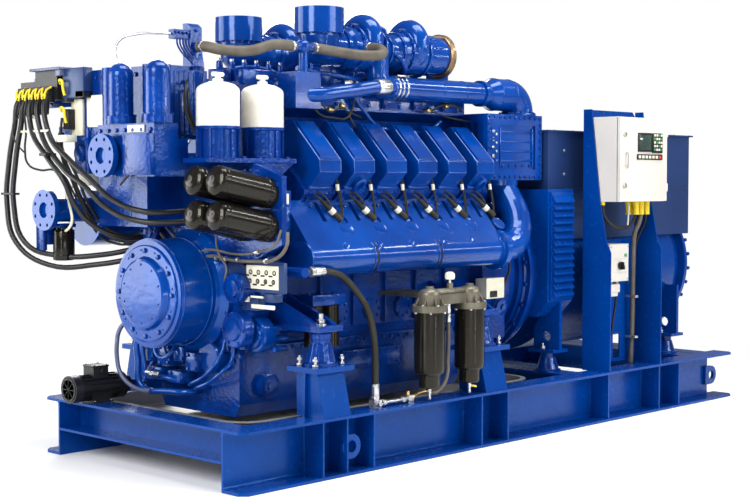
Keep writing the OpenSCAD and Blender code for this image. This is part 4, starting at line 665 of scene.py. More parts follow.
# Charge air manifolds: three lengths of duct a side, joined by rubber sleeves, a branch a cylinder.
# Bolts hold each branch beside its slot, and a round pocket gives room for the fuel pipe.
WARM_SHEEN = (1.0, 0.94, 0.8)
BLACK_RUBBER = finish_coat("black_rubber", (0.013, 0.013, 0.012), (0.007, 0.007, 0.0065), 0.42, 0.6,
                           300, 9, 0.04, sheen=WARM_SHEEN, mirror=0.35)
coat_nodes(COVER_BLUE, "manifolds")
DUCT_Y, DUCT_Z, DUCT_R = 0.575, 1.037, 0.086
SLEEVE_X = (-1.11, -0.63)
sleeves, duct_rims, branch_bolts, pocket_rims, pads = [], [], [], [], []
for side in SIDES:
    outward = bank_out(side)
    for x in SLEEVE_X:
        sleeves.append(rod(x - 0.004, x + 0.004, side * DUCT_Y, DUCT_Z, DUCT_R + 0.0015, edge=0, sides=64))
        for dx in (-0.014, 0.014):
            duct_rims.append(rod(x + dx - 0.006, x + dx + 0.006, side * DUCT_Y, DUCT_Z, DUCT_R + 0.004,
                                 edge=0.002, sides=64))
    for end in (-1.56, -0.1):
        duct_rims.append(rod(end - 0.008, end + 0.01, side * DUCT_Y, DUCT_Z, DUCT_R + 0.005, edge=0.003, sides=64))
    for x in CYLINDER_X:
        mouth = Vector((x + 0.108, side * 0.535, 1.205))
        pocket_rims.append(turned([(0.036, -0.012), (0.043, 0.001), (0.041, 0.006), (0.035, 0.004)],
                                  mouth + Vector((0, side * 0.028, -0.024)), (0, side * BANK_TILT, BANK_TILT), 28))
        for dx, dz in ((-0.06, 0.02), (0.045, 0.0), (0.15, 0.02)):
            branch_bolts.append((Vector((x + dx, side * (0.5 - dz), 1.27 + dz)),
                                 Vector((0, 2 * side, 0)) - outward))
        pads.append(bar((x + 0.045, side * 0.615, 1.085), (x + 0.045, side * 0.64, 1.102), 0.026, 0.022, sides=24))
keep(sleeves, "duct_sleeves", BLACK_RUBBER)
keep(duct_rims, "duct_rims", COVER_BLUE)
keep(pocket_rims, "pocket_rims", COVER_BLUE)
keep(pads, "duct_pads", COVER_BLUE)
keep_bolts(0.018, branch_bolts, "branch_bolts")


# Injector leads: a thin lead out of each head to an ivory plug, then down behind the manifold.
# A tapered rubber seal with an ivory collar lies in each pocket, with two thin wires at its tail.
lead_runs, plugs, seals = [], [], []
for side in SIDES:
    for k, x in enumerate(CYLINDER_X):
        def spot(dx, y, z):
            """A place beside this cylinder"""
            return Vector((x + dx, side * y, z))
        drop = [spot(0.08, 0.47, 1.455), spot(0.096, 0.498, 1.425), spot(0.102, 0.506, 1.388),
                spot(0.112, 0.512, 1.33), spot(0.116, 0.518, 1.28), spot(0.108, 0.528, 1.225)]
        lead_runs.append(run_of_pipe(drop, 0.0045, 2))
        lead_runs.append(run_of_pipe([point + Vector((0.01 - 0.004 * (k % 2), 0, 0.004)) for point in drop],
                                     0.0035, 2))
        plugs.append(bar(spot(0.101, 0.505, 1.402), spot(0.104, 0.507, 1.37), 0.0095, sides=14))
        tail, tip = spot(0.0, 0.497, 1.322), spot(0.098, 0.536, 1.222)
        seals.append(bar(tail, tip, 0.01, 0.02, sides=20))
        plugs.append(bar(tail.lerp(tip, 0.44), tail.lerp(tip, 0.64), 0.0172, sides=20))
        lead_runs.append(run_of_pipe([tail.lerp(tip, 0.1), tail + Vector((-0.022, -side * 0.008, 0.018)),
                                      spot(-0.04, 0.47, 1.352)], 0.0065, 2))
        lead_runs.append(run_of_pipe([tail.lerp(tip, 0.3) + Vector((0.01, side * 0.014, 0.01)),
                                      spot(0.0, 0.502, 1.352), spot(-0.026, 0.48, 1.368)], 0.0045, 2))
keep(lead_runs, "injector_leads", BLACK_RUBBER)
keep(plugs, "injector_plugs", IVORY_PLASTIC)
keep(seals, "injector_seals", BLACK_RUBBER)


# Flywheel housing and adaptor: a drum behind the block, bolted to the alternator's frame.
# The bolts stand in a ring on the flange, with a plugged sight hole on the side.
coat_nodes(CAST_BLUE, "flywheel_housing", "adaptor_disc")
keep_bolts(0.024, ring_of((0.3, 0, CRANK_Z), (-1, 0, 0), 0.495, 24, -80, 340)
           + ring_of((-0.03, 0, CRANK_Z), (-1, 0, 0), 0.415, 14, 190, 130), "flywheel_housing_bolts")
keep([turned([(0.05, 0), (0.05, 0.012), (0.04, 0.016), (0.018, 0.016), (0.018, 0.026)],
             (0.12, side * 0.452, 0.7), (0, side, -0.25)) for side in SIDES], "sight_hole_covers", CAST_BLUE)


# Charge air elbows: cast bends from the manifolds up into the cooler, flanged at both ends.
# Eight bolts hold the foot, and three stand in the upper flange where the cooler leaves room.
coat_nodes(COVER_BLUE, "charge_elbows")
elbow_bolts = []
for side in SIDES:
    elbow_bolts += ring_of((-0.064, side * DUCT_Y, DUCT_Z), (1, 0, 0), 0.099, 8, 20)
    elbow_bolts += [((0.21 + dx, side * 0.365 - dy, 1.394), (0, 0, -1))
                    for dx, dy in ((-0.09, 0.035 * side), (0.09, 0.035 * side), (0, 0.098 * -side))]
keep_bolts(0.018, elbow_bolts, "elbow_bolts")


# Charge air cooler: a box across the engine with a bolted cover at each end.
# The covers are ribbed and dished, and bright drain pins stand in their left edge.
coat_nodes(CAST_BLUE, "cooler_bracket", "charge_air_cooler")
coat_nodes(COVER_BLUE, "cooler_covers")
COOLER_X = (-0.025, 0.475)
COOLER_Z = (1.424, 1.8)
COVER_FACE, COVER_DISH = 0.47, 0.458
cooler_bolts, cover_ribs, pins = [], [], []


def side_slab(side, low, high, edge):
    """A block on one side of the engine, its corners given for the far side"""
    low_y, high_y = sorted((side * low[1], side * high[1]))
    return slab((low[0], low_y, low[2]), (high[0], high_y, high[2]), edge)


for side in SIDES:
    face, out = side * COVER_FACE, (0, side, 0)
    for z in (COOLER_Z[0] + 0.018, COOLER_Z[1] - 0.018):
        cooler_bolts += row_of((COOLER_X[0] + 0.02, face, z), (COOLER_X[1] - 0.02, face, z), 11, out)
    for x in (COOLER_X[0] + 0.016, COOLER_X[1] - 0.018):
        cooler_bolts += row_of((x, face, COOLER_Z[0] + 0.055), (x, face, COOLER_Z[1] - 0.055), 7, out)
    for k in range(4):
        z = 1.53 + 0.055 * k
        cover_ribs.append(side_slab(side, (0.095, COVER_DISH, z), (0.395, COVER_DISH + 0.01, z + 0.012), 0.004))
    for x in (0.09, 0.386):
        cover_ribs.append(side_slab(side, (x, COVER_DISH, 1.5), (x + 0.014, COVER_DISH + 0.01, 1.725), 0.004))
    cooler_bolts += row_of((0.12, side * COVER_DISH, 1.508), (0.37, side * COVER_DISH, 1.508), 5, out)
    for k in range(4):
        z = 1.56 + 0.048 * k
        pins.append(bar((0.02, side * 0.474, z), (0.02, side * 0.479, z), 0.012, sides=20))
        pins.append(bar((0.048, side * 0.474, z - 0.02), (0.048, side * 0.479, z - 0.02), 0.008, sides=16))
keep_bolts(0.017, cooler_bolts, "cooler_cover_bolts")
keep(cover_ribs, "cooler_cover_ribs", COVER_BLUE)
keep(pins, "cooler_pins", BRIGHT_STEEL)


# Crossover pipes: welded tube from each compressor to the cooler, with a clamped rubber joint.
# Three bright bands close the joint, and round seams mark where the bends are welded on.
coat_nodes(COVER_BLUE, "crossover_pipes")
PIPE_Y, PIPE_Z, PIPE_R, BEND_R = 0.38, 1.915, 0.062, 0.0945
joint_bands, joint_bolts, pipe_seams = [], [], []
for side in SIDES:
    for x in (-0.72, -0.69, -0.655):
        joint_bands.append(rod(x, x + 0.012, side * PIPE_Y, PIPE_Z, PIPE_R + 0.004, edge=0.002, sides=64))
    joint_bolts.append(rod(-0.723, -0.64, side * (PIPE_Y + 0.045), PIPE_Z + 0.062, 0.006, sides=12))
    for x in (-0.36, -0.16):
        pipe_seams.append(rod(x, x + 0.007, side * PIPE_Y, PIPE_Z, PIPE_R + 0.0025, edge=0.002, sides=64))
    for start, end in ((0.118, 0.127), (0.247, 0.255)):
        pipe_seams.append(rod(start, end, side * PIPE_Y, PIPE_Z, BEND_R, edge=0.002, sides=64))
keep(joint_bands, "joint_bands", BRIGHT_STEEL)
keep(joint_bolts, "joint_band_bolts", BRIGHT_STEEL)
keep(pipe_seams, "crossover_seams", COVER_BLUE)
keep_bolts(0.017, [place for side in SIDES
                   for place in ring_of((0.353, side * PIPE_Y, 1.812), (0, 0, 1), 0.102, 8, 10)],
           "crossover_flange_bolts")


# Exhaust casing: water-cooled castings in the valley, joined cylinder by cylinder by bolted flanges.
# A coolant return pipe with a clamped sleeve runs along it, with small pipes, sender blocks and
# black leads with brass ends on top of it.
BRASS = finish_coat("brass", (0.7, 0.5, 0.18), (0.52, 0.36, 0.12), 0.25, 0.3, 200, 9, 0.05,
                    metallic=1.0)
coat_nodes(CAST_BLUE, "exhaust_casing")
casing_flanges, casing_bolts, small_blocks, small_pipes, casing_leads, lead_fittings = [], [], [], [], [], []


def side_pipe(side, route, radius, sides):
    """A pipe on one side of the engine, its route given for the far side"""
    return run_of_pipe([(x, side * y, z) for x, y, z in route], radius, sides)


for side in SIDES:
    for k in range(6):
        x = CYLINDER_X[k] - 0.015
        casing_flanges.append(side_slab(side, (x - 0.07, 0.3, 1.805), (x + 0.07, 0.318, 1.895), 0.006))
        for dx in (-0.055, 0.055):
            for z in (1.82, 1.88):
                casing_bolts.append(((x + dx, side * 0.318, z), (0, side, 0)))
    for x, z, high in ((-1.02, 1.95, 0.07), (-0.66, 1.95, 0.05), (-0.2, 1.95, 0.08)):
        small_blocks.append(side_slab(side, (x - 0.05, 0.2, 1.9), (x + 0.05, 0.285, z + high), 0.006))
        casing_bolts.append(((x, side * 0.243, z + high), (0, 0, 1)))
    for radius, sides, route in (
            (0.037, 6, ((-0.785, 0.425, 1.905), (-0.815, 0.468, 1.905), (-0.86, 0.488, 1.905),
                        (-0.95, 0.49, 1.902), (-1.06, 0.478, 1.885), (-1.2, 0.46, 1.865),
                        (-1.3, 0.44, 1.85), (-1.37, 0.385, 1.845), (-1.38, 0.3, 1.84))),
            (0.012, 3, ((-1.36, 0.33, 1.985), (-1.2, 0.335, 1.972), (-0.95, 0.322, 1.955), (-0.8, 0.3, 1.945))),
            (0.011, 3, ((-0.66, 0.28, 2.0), (-0.58, 0.31, 1.995), (-0.5, 0.315, 1.96), (-0.42, 0.308, 1.9)))):
        small_pipes.append(side_pipe(side, route, radius, sides))
for side in SIDES:
    for radius, route in (
            (0.0055, ((-1.262, 0.33, 1.825), (-1.227, 0.345, 1.765), (-1.114, 0.345, 1.743), (-1.012, 0.345, 1.751),
                      (-0.975, 0.345, 1.81), (-0.975, 0.36, 1.856))),
            (0.005, ((-1.002, 0.335, 1.778), (-0.982, 0.345, 1.726), (-0.938, 0.345, 1.686), (-0.878, 0.33, 1.651))),
            (0.0045, ((-1.185, 0.33, 1.812), (-1.142, 0.345, 1.773), (-1.07, 0.345, 1.796), (-1.004, 0.345, 1.777),
                      (-0.893, 0.33, 1.75))),
            (0.0045, ((-0.411, 0.335, 1.809), (-0.323, 0.345, 1.795), (-0.205, 0.345, 1.772), (-0.075, 0.345, 1.759),
                      (0.057, 0.33, 1.752))),
            (0.006, ((-0.362, 0.335, 1.8), (-0.295, 0.35, 1.835), (-0.168, 0.35, 1.845),
                      (-0.102, 0.345, 1.809)))):
        casing_leads.append(side_pipe(side, route, radius, 2))
    small_pipes.append(side_pipe(side, ((-0.957, 0.335, 1.858), (-0.893, 0.345, 1.786), (-0.795, 0.345, 1.71),
                                        (-0.655, 0.345, 1.693), (-0.389, 0.345, 1.694), (-0.272, 0.33, 1.748)),
                                 0.011, 3))
    for x, z in ((-1.133, 1.789), (-1.046, 1.812), (-0.378, 1.81), (-0.228, 1.838)):
        lead_fittings.append(bar((x - 0.014, side * 0.335, z), (x + 0.014, side * 0.335, z - 0.006), 0.012, sides=12))
keep(casing_leads, "casing_leads", BLACK_RUBBER)
keep(lead_fittings, "casing_lead_fittings", BRASS)
keep(casing_flanges, "casing_flanges", CAST_BLUE)
far_fittings = []
for k in range(6):
    x = -1.43 + 0.085 * k
    small_blocks.append(slab((x - 0.032, 0.13, 1.925), (x + 0.032, 0.25, 2.01), 0.01))
    small_blocks.append(post(x, 0.19, 2.0, 2.05, 0.02, 0.016, edge=0.004, sides=20))
    far_fittings.append(post(x, 0.19, 2.046, 2.064, 0.012, edge=0.002, sides=6))
small_blocks.append(slab((-1.62, -0.22, 1.9), (-1.39, -0.18, 1.975), 0.006))
small_pipes.append(run_of_pipe([(-1.47, 0.19, 1.96), (-1.43, 0.19, 1.99), (-1.0, 0.19, 1.99),
                                (-0.96, 0.19, 1.93)], 0.013, 3))
keep(far_fittings, "casing_fittings", BRIGHT_STEEL)
keep(small_blocks, "casing_blocks", CAST_BLUE)
keep(small_pipes, "casing_pipes", COVER_BLUE)
keep_bolts(0.019, casing_bolts, "casing_bolts")
keep([bar((-0.952, side * 0.49, 1.902), (-0.862, side * 0.4885, 1.905), 0.042, edge=0.004, sides=40)
      for side in SIDES], "return_pipe_sleeves", BRIGHT_STEEL)


# Turbochargers: an aluminium compressor and an iron turbine on one shaft, all painted blue.
# Cap screws hold the backplates, and band clamps and oil pipes sit round the bearing waist.
# Heat has left the outlet rings bare and bronze.
BRONZE = finish_coat("bronze_ring", (0.36, 0.24, 0.14), (0.22, 0.14, 0.08), 0.3, 0.3, 200, 9, 0.05,
                     metallic=0.9)
coat_nodes(COVER_BLUE, "turbochargers")
coat_nodes(BRONZE, "exhaust_outlets")
TURBO_Y, TURBO_Z = 0.315, 2.11
turbo_rings, turbo_screws, turbo_bands, oil_pipes, turbo_ribs = [], [], [], [], []
for side in SIDES:
    y = side * TURBO_Y
    for x0, x1, faces in ((-0.974, -0.958, -1), (-0.818, -0.802, 1), (-0.604, -0.588, -1), (-0.468, -0.452, 1)):
        turbo_rings.append(rod(x0, x1, y, TURBO_Z, 0.127, edge=0.003, sides=72))
        turbo_screws += ring_of((x0 if faces < 0 else x1, y, TURBO_Z), (faces, 0, 0), 0.119, 14)
    turbo_bands.append(rod(-0.738, -0.722, y, TURBO_Z, 0.093, edge=0.004, sides=64))
    turbo_bands.append(rod(-0.656, -0.64, y, TURBO_Z, 0.108, edge=0.004, sides=64))
    oil_pipes.append(side_pipe(side, ((-0.708, 0.315, 2.18), (-0.708, 0.315, 2.225), (-0.735, 0.265, 2.23),
                                      (-0.775, 0.185, 2.08), (-0.79, 0.165, 1.92)), 0.01, 3))
    oil_pipes.append(side_pipe(side, ((-0.708, 0.385, 2.09), (-0.7, 0.43, 2.065), (-0.655, 0.42, 2.02),
                                      (-0.6, 0.335, 1.985), (-0.575, 0.285, 1.9)), 0.014, 3))
    for k in range(12):
        a = math.radians(30 * k + 10)
        turbo_ribs.append(bar((-0.41, y + 0.107 * math.cos(a), TURBO_Z + 0.107 * math.sin(a)),
                              (-0.335, y + 0.104 * math.cos(a), TURBO_Z + 0.104 * math.sin(a)), 0.0065, sides=10))
keep(turbo_rings, "turbo_flange_rings", COVER_BLUE)
keep_bolts(0.014, turbo_screws, "turbo_screws")
keep(turbo_bands, "turbo_bands", COVER_BLUE)
keep(oil_pipes, "turbo_oil_pipes", COVER_BLUE)
keep(turbo_ribs, "turbine_ribs", CAST_BLUE)
keep_bolts(0.011, [place for side in SIDES
                   for place in ring_of((-0.2505, side * TURBO_Y, TURBO_Z), (1, 0, 0), 0.1105, 12)],
           "outlet_screws", BRIGHT_STEEL)


# Intake stubs: flanged necks over the compressors, each with a ring of screws under its lip.
# They stand open, ready for the air filters.
coat_nodes(COVER_BLUE, "intake_stubs")
INTAKE_X = -1.19
STUB_RING_Z = 2.17
keep_bolts(0.014, [place for side in SIDES
                   for place in ring_of((INTAKE_X, side * TURBO_Y, STUB_RING_Z), (0, 0, -1), 0.1175, 12)],
           "stub_screws")


# Filter carrier and bowls: oil centrifuges with white enamelled bowls over ribbed blue bases.
# An enamelled tee handle holds each bowl down on its spindle, and a round cover and a small
# blank plate sit on the carrier's near face.
CREAM = finish_coat("cream_enamel", (0.8, 0.77, 0.68), (0.72, 0.69, 0.6), 0.22, 0.3, 60, 3, 0.05,
                    coat=0.4)
coat_nodes(CAST_BLUE, "filter_carrier")
coat_nodes(CREAM, "filter_bowls")
CARRIER_FACE_X = -1.79
BOWL_X = (-1.915, -1.635)
BOWL_Y = -0.38
BOWL_TOP = 1.89
tees, bowl_rings, carrier_bolts = [], [], []
for x in BOWL_X:
    tees.append(turned([(0.026, 0), (0.026, 0.01), (0.014, 0.014), (0.014, 0.03)], (x, BOWL_Y, BOWL_TOP), (0, 0, 1)))
    tees.append(rod(x - 0.034, x + 0.034, BOWL_Y, BOWL_TOP + 0.032, 0.011, edge=0.005, sides=20))
    bowl_rings.append(turned([(0.106, -0.012), (0.11, -0.008), (0.11, 0.004), (0.1045, 0.006)],
                             (x, BOWL_Y, 1.672), (0, 0, 1), 72))
    carrier_bolts += ring_of((x, BOWL_Y, 1.527), (0, 0, 1), 0.122, 4, 45)
carrier_bolts += [((CARRIER_FACE_X, y, z), (-1, 0, 0)) for y, z in (
    (-0.66, 1.4), (-0.66, 1.16), (-0.44, 1.475), (-0.28, 1.46), (-0.25, 1.34), (-0.52, 1.07))]
keep(tees, "bowl_tees", CREAM)
keep([turned([(0.068, -0.02), (0.068, 0.014), (0.06, 0.02), (0.04, 0.02), (0.036, 0.028), (0.02, 0.028)],
             (-1.626, -0.492, 1.198), (0, -1, 0), 56),
      slab((-1.7, -0.5, 1.1), (-1.552, -0.44, 1.3), 0.008)], "side_cover", COVER_BLUE)
keep_bolts(0.013, ring_of((-1.626, -0.506, 1.198), (0, -1, 0), 0.056, 8, 20), "side_cover_bolts")
keep([slab((-1.682, -0.5, 1.305), (-1.571, -0.496, 1.356), 0.001)], "side_plate", IVORY_PLASTIC)
keep([slab((-1.7, -0.4965, 1.29), (-1.552, -0.44, 1.372), 0.004)], "side_plate_bracket", CAST_BLUE)
keep(bowl_rings, "bowl_rings", CAST_BLUE)
keep_bolts(0.022, carrier_bolts, "carrier_bolts")


# Spin-on filters: black enamelled canisters with a fluted grip and a rolled seam at the neck.
# Four of them stick out of the carrier's front, tilted up a little.
BLACK_GLOSS = finish_coat("black_gloss", (0.009, 0.008, 0.006), (0.005, 0.0045, 0.004), 0.11, 0.1, 30,
                          4, 0.01, coat=0.05, sheen=WARM_SHEEN, mirror=0.26)
coat_nodes(BLACK_GLOSS, "spin_on_filters")
SPIN_TILT = math.radians(11)
canister_out = Vector((-math.cos(SPIN_TILT), 0, math.sin(SPIN_TILT)))
SPIN_PLACES = ((-1.8, -0.6, 1.362), (-1.8, -0.6, 1.202), (-1.8, -0.44, 1.362), (-1.8, -0.44, 1.202))
seams, flutes = [], []
for place in SPIN_PLACES:
    foot = Vector(place)
    seams.append(turned([(0.0715, 0), (0.0735, 0.003), (0.0735, 0.008), (0.0715, 0.011)],
                        foot + canister_out * 0.03, canister_out, 56))
    seams.append(turned([(0.0712, 0), (0.0722, 0.003), (0.0722, 0.006), (0.0712, 0.009)],
                        foot + canister_out * 0.285, canister_out, 56))
    for point, outward in ring_of(foot + canister_out * 0.008, canister_out, 0.069, 22):
        flutes.append(bar(point - canister_out * 0.004, point + canister_out * 0.018, 0.005, edge=0, sides=8))
keep(seams, "canister_seams", BLACK_GLOSS)
keep(flutes, "canister_flutes", BLACK_GLOSS)


# Heat exchanger: a stack of plates between two covers, drawn together by bolts at the rims.
# A bracket at its corner carries a sender block with five small tubes and a thin steel capillary.
coat_nodes(CAST_BLUE, "heat_exchanger")
STACK_FACE_X = -2.06
plates, stack_bolts = [], []
for x in (-2.03, -2.0, -1.97, -1.94, -1.91, -1.88, -1.85, -1.825):
    plates.append(slab((x - 0.004, -0.164, 1.65), (x + 0.004, 0.624, 1.945), 0.002))
for z in (1.655, 1.937):
    stack_bolts += row_of((STACK_FACE_X, -0.005, z), (STACK_FACE_X, 0.135, z), 3, (-1, 0, 0))
    stack_bolts += row_of((STACK_FACE_X, 0.33, z), (STACK_FACE_X, 0.59, z), 5, (-1, 0, 0))
keep(plates, "exchanger_plates", CAST_BLUE)
keep_bolts(0.02, stack_bolts, "exchanger_bolts")
tubes = []
for k in range(5):
    x = -1.965 + 0.018 * k
    tubes.append(run_of_pipe([(x, -0.135, 2.108), (x, -0.14, 2.075), (x + 0.02, -0.145, 2.04),
                              (-1.885 + 0.01 * k, -0.15, 1.985), (-1.875 + 0.008 * k, -0.165, 1.9),
                              (-1.84 + 0.008 * k, -0.168, 1.8)], 0.0045, 2))
keep(tubes, "sender_tubes", CAST_BLUE)
keep_bolts(0.015, row_of((-1.965, -0.131, 2.135), (-1.895, -0.131, 2.135), 4, (0, -1, 0))
           + row_of((-1.85, -0.141, 2.15), (-1.85, -0.16, 1.99), 1, (0, -1, 0)), "sender_screws")
keep([run_of_pipe([(-2.165, 0.045, 1.975), (-2.175, 0.07, 2.02), (-2.165, 0.06, 2.09), (-2.1, -0.01, 2.125),
                   (-2.03, -0.08, 2.128), (-1.982, -0.11, 2.128)], 0.0055, 3)], "capillary", BRIGHT_STEEL)
keep([run_of_pipe([(-1.93, -0.17, 1.9), (-1.99, -0.23, 1.86), (-2.01, -0.26, 1.75), (-1.97, -0.27, 1.66),
                   (-1.93, -0.28, 1.6)], 0.007, 3),
      run_of_pipe([(-1.92, -0.17, 1.86), (-1.965, -0.22, 1.83), (-1.98, -0.25, 1.74), (-1.95, -0.26, 1.66),
                   (-1.92, -0.27, 1.6)], 0.007, 3)], "sender_loops", BLACK_RUBBER)


# Thermostat housing: a cast box with two domed tanks, bolted down round their feet.
# A folded steel shelf hangs on its front, and white marker plates are fixed beside it.
coat_nodes(CAST_BLUE, "thermostat_tanks")
HOUSING_FACE_X = -2.2
TANK_Y = (-0.245, 0.045)
TANK_X = -2.165
tank_bolts = []
for y in TANK_Y:
    tank_bolts += ring_of((TANK_X, y, 1.73), (0, 0, 1), 0.064, 6, 20)
tank_bolts += row_of((HOUSING_FACE_X, -0.235, 1.66), (HOUSING_FACE_X, 0.165, 1.66), 7, (-1, 0, 0))
tank_bolts += row_of((HOUSING_FACE_X, -0.235, 1.47), (HOUSING_FACE_X, -0.235, 1.61), 3, (-1, 0, 0))
keep_bolts(0.018, tank_bolts, "thermostat_bolts")
shelf = [slab((-2.235, -0.27, 1.45), (-2.231, -0.06, 1.64), 0.0015),
         slab((-2.235, -0.271, 1.45), (-2.202, -0.267, 1.64), 0.0015),
         slab((-2.235, -0.27, 1.446), (-2.202, -0.06, 1.45), 0.0015)]
keep(shelf, "folded_shelf", CAST_BLUE)
keep([slab((-2.206, -0.19, 1.648), (-2.2005, -0.06, 1.682), 0.001),
      slab((-2.072, 0.305, 1.69), (-2.0605, 0.465, 1.85), 0.002)], "marker_plates", IVORY_PLASTIC)
keep([run_of_pipe([(-2.2025, -0.235, 1.66), (-2.215, -0.19, 1.52), (-2.212, -0.05, 1.43), (-2.19, 0.02, 1.4)],
                  0.006, 3)], "shelf_lead", BLACK_RUBBER)


# Cooling water flanges: drilled rings with raised lips, ready for the ship's pipes.
# Below the upper one hangs a small black canister on its bracket, with a white hose and loop.
coat_nodes(COVER_BLUE, "water_flanges")
CANISTER_X = -2.1
flange_lips = []
for x, y, z in ((-2.262, 0.08, 1.54), (-2.22, 0.64, 1.27)):
    flange_lips.append(turned([(0.0985, 0), (0.1035, 0.004), (0.1035, 0.012), (0.098, 0.016)], (x + 0.034, y, z),
                              (-1, 0, 0), 64))
keep(flange_lips, "water_flange_lips", COVER_BLUE)
keep([run_of_pipe([(-1.93, 0.7, 1.43), (-1.97, 0.77, 1.38), (-1.98, 0.8, 1.28), (-1.95, 0.78, 1.18),
                   (-1.9, 0.7, 1.12)], 0.009, 3)], "pale_loop", IVORY_PLASTIC)
keep([slab((-2.0, 0.56, 1.395), (-1.93, 0.68, 1.48), 0.006)], "white_box", IVORY_PLASTIC)
keep([post(CANISTER_X, 0.64, 1.17, 1.01, 0.055, edge=0.008, sides=40),
      post(CANISTER_X, 0.64, 1.185, 1.16, 0.046, edge=0.003, sides=40)]
     + [post(CANISTER_X, 0.64, z, z - 0.006, 0.0562, edge=0.002, sides=40) for z in (1.15, 1.04)],
     "water_canister", BLACK_GLOSS)
keep([slab((-2.15, 0.6, 1.18), (-2.05, 0.68, 1.2), 0.004),
      slab((-2.19, 0.69, 1.06), (-2.165, 0.76, 1.235), 0.006),
      slab((-2.165, 0.69, 1.09), (CANISTER_X, 0.712, 1.19), 0.004)], "canister_bracket", CAST_BLUE)
keep([run_of_pipe([(-2.02, 0.735, 1.382), (-2.09, 0.622, 1.326), (-2.11, 0.558, 1.265), (-2.12, 0.535, 1.215),
                   (-2.12, 0.571, 1.173), (-2.12, 0.635, 1.161), (-2.12, 0.671, 1.181)], 0.0075, 3)], "white_hose",
     IVORY_PLASTIC)


# Control unit: a sealed box under a grey plate, with a row of plugs locked by yellow clips.
# White sleeves number the cables, and dark clamp bars tie the bundle to the bracket.
SIGNAL_YELLOW = finish_coat("signal_yellow", (0.8, 0.62, 0.02), (0.7, 0.5, 0.01), 0.35, 0.2, 90, 8, 0.05)
coat_nodes(BLACK_PLASTIC, "control_unit")
PLUG_X, PLUG_Z = -2.13, 1.85
PLUG_Y = {0.93: 0.93, 0.87: 0.87, 0.81: 0.8, 0.75: 0.735, 0.69: 0.67}
clips, sockets = [], []
for sy, low_y in PLUG_Y.items():
    sockets.append(slab((-2.168, sy - 0.024, PLUG_Z - 0.03), (-2.128, sy + 0.024, PLUG_Z + 0.052), 0.005))
    sockets.append(bar((-2.164, sy, PLUG_Z), (-2.18, low_y, 1.76), 0.0185, 0.016, sides=20))
    clips.append(run_of_pipe([(-2.15, sy - 0.027, PLUG_Z + 0.05), (-2.176, sy - 0.018, PLUG_Z + 0.03),
                              (-2.18, sy, PLUG_Z - 0.015), (-2.176, sy + 0.018, PLUG_Z + 0.03),
                              (-2.15, sy + 0.027, PLUG_Z + 0.05)], 0.0055, 3))
    clips.append(slab((-2.181, sy - 0.011, PLUG_Z - 0.024), (-2.168, sy + 0.011, PLUG_Z + 0.016), 0.004))
for y, z in ((0.6, 1.915), (0.59, 1.775)):
    sockets.append(slab((-2.115, y - 0.026, z - 0.095), (-2.065, y + 0.026, z + 0.01), 0.006))
    clips.append(run_of_pipe([(-2.118, y + 0.026, z), (-2.135, y + 0.012, z + 0.016), (-2.138, y - 0.016, z + 0.01),
                              (-2.136, y - 0.022, z - 0.03), (-2.132, y - 0.03, z - 0.062)], 0.0075, 3))
HARNESS = (
    (0.93, ((-2.196, 0.94, 1.7), (-2.221, 0.96, 1.5), (-2.24, 0.95, 1.3), (-2.232, 0.88, 1.1),
             (-2.14, 0.72, 0.985), (-1.98, 0.5, 0.99), (-1.8, 0.34, 1.03), (-1.76, 0.34, 1.03))),
    (0.87, ((-2.196, 0.88, 1.7), (-2.226, 0.89, 1.5), (-2.244, 0.88, 1.3), (-2.222, 0.81, 1.1),
             (-2.13, 0.64, 1.035), (-1.98, 0.47, 1.04), (-1.8, 0.33, 1.08), (-1.76, 0.33, 1.08))),
    (0.81, ((-2.2, 0.78, 1.7), (-2.2, 0.62, 1.53), (-2.19, 0.5, 1.42), (-2.14, 0.48, 1.3),
             (-2.06, 0.45, 1.2), (-1.92, 0.38, 1.13), (-1.8, 0.34, 1.13), (-1.76, 0.34, 1.13))),
    (0.75, ((-2.195, 0.7, 1.68), (-2.19, 0.5, 1.48), (-2.18, 0.33, 1.39), (-2.15, 0.2, 1.29),
             (-2.1, 0.0, 1.225), (-1.96, -0.13, 1.22), (-1.8, -0.16, 1.23), (-1.76, -0.16, 1.23))),
    (0.69, ((-2.19, 0.63, 1.66), (-2.185, 0.45, 1.52), (-2.175, 0.3, 1.43), (-2.15, 0.15, 1.33),
             (-2.09, -0.04, 1.27), (-1.94, -0.11, 1.27), (-1.8, -0.12, 1.28), (-1.76, -0.12, 1.28))))
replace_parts(keep([run_of_pipe([(PLUG_X, y, PLUG_Z), (-2.16, y, PLUG_Z), *route], 0.014, 4) for y, route in HARNESS],
                 "harness_cables", BLACK_PLASTIC), "wiring_harness")
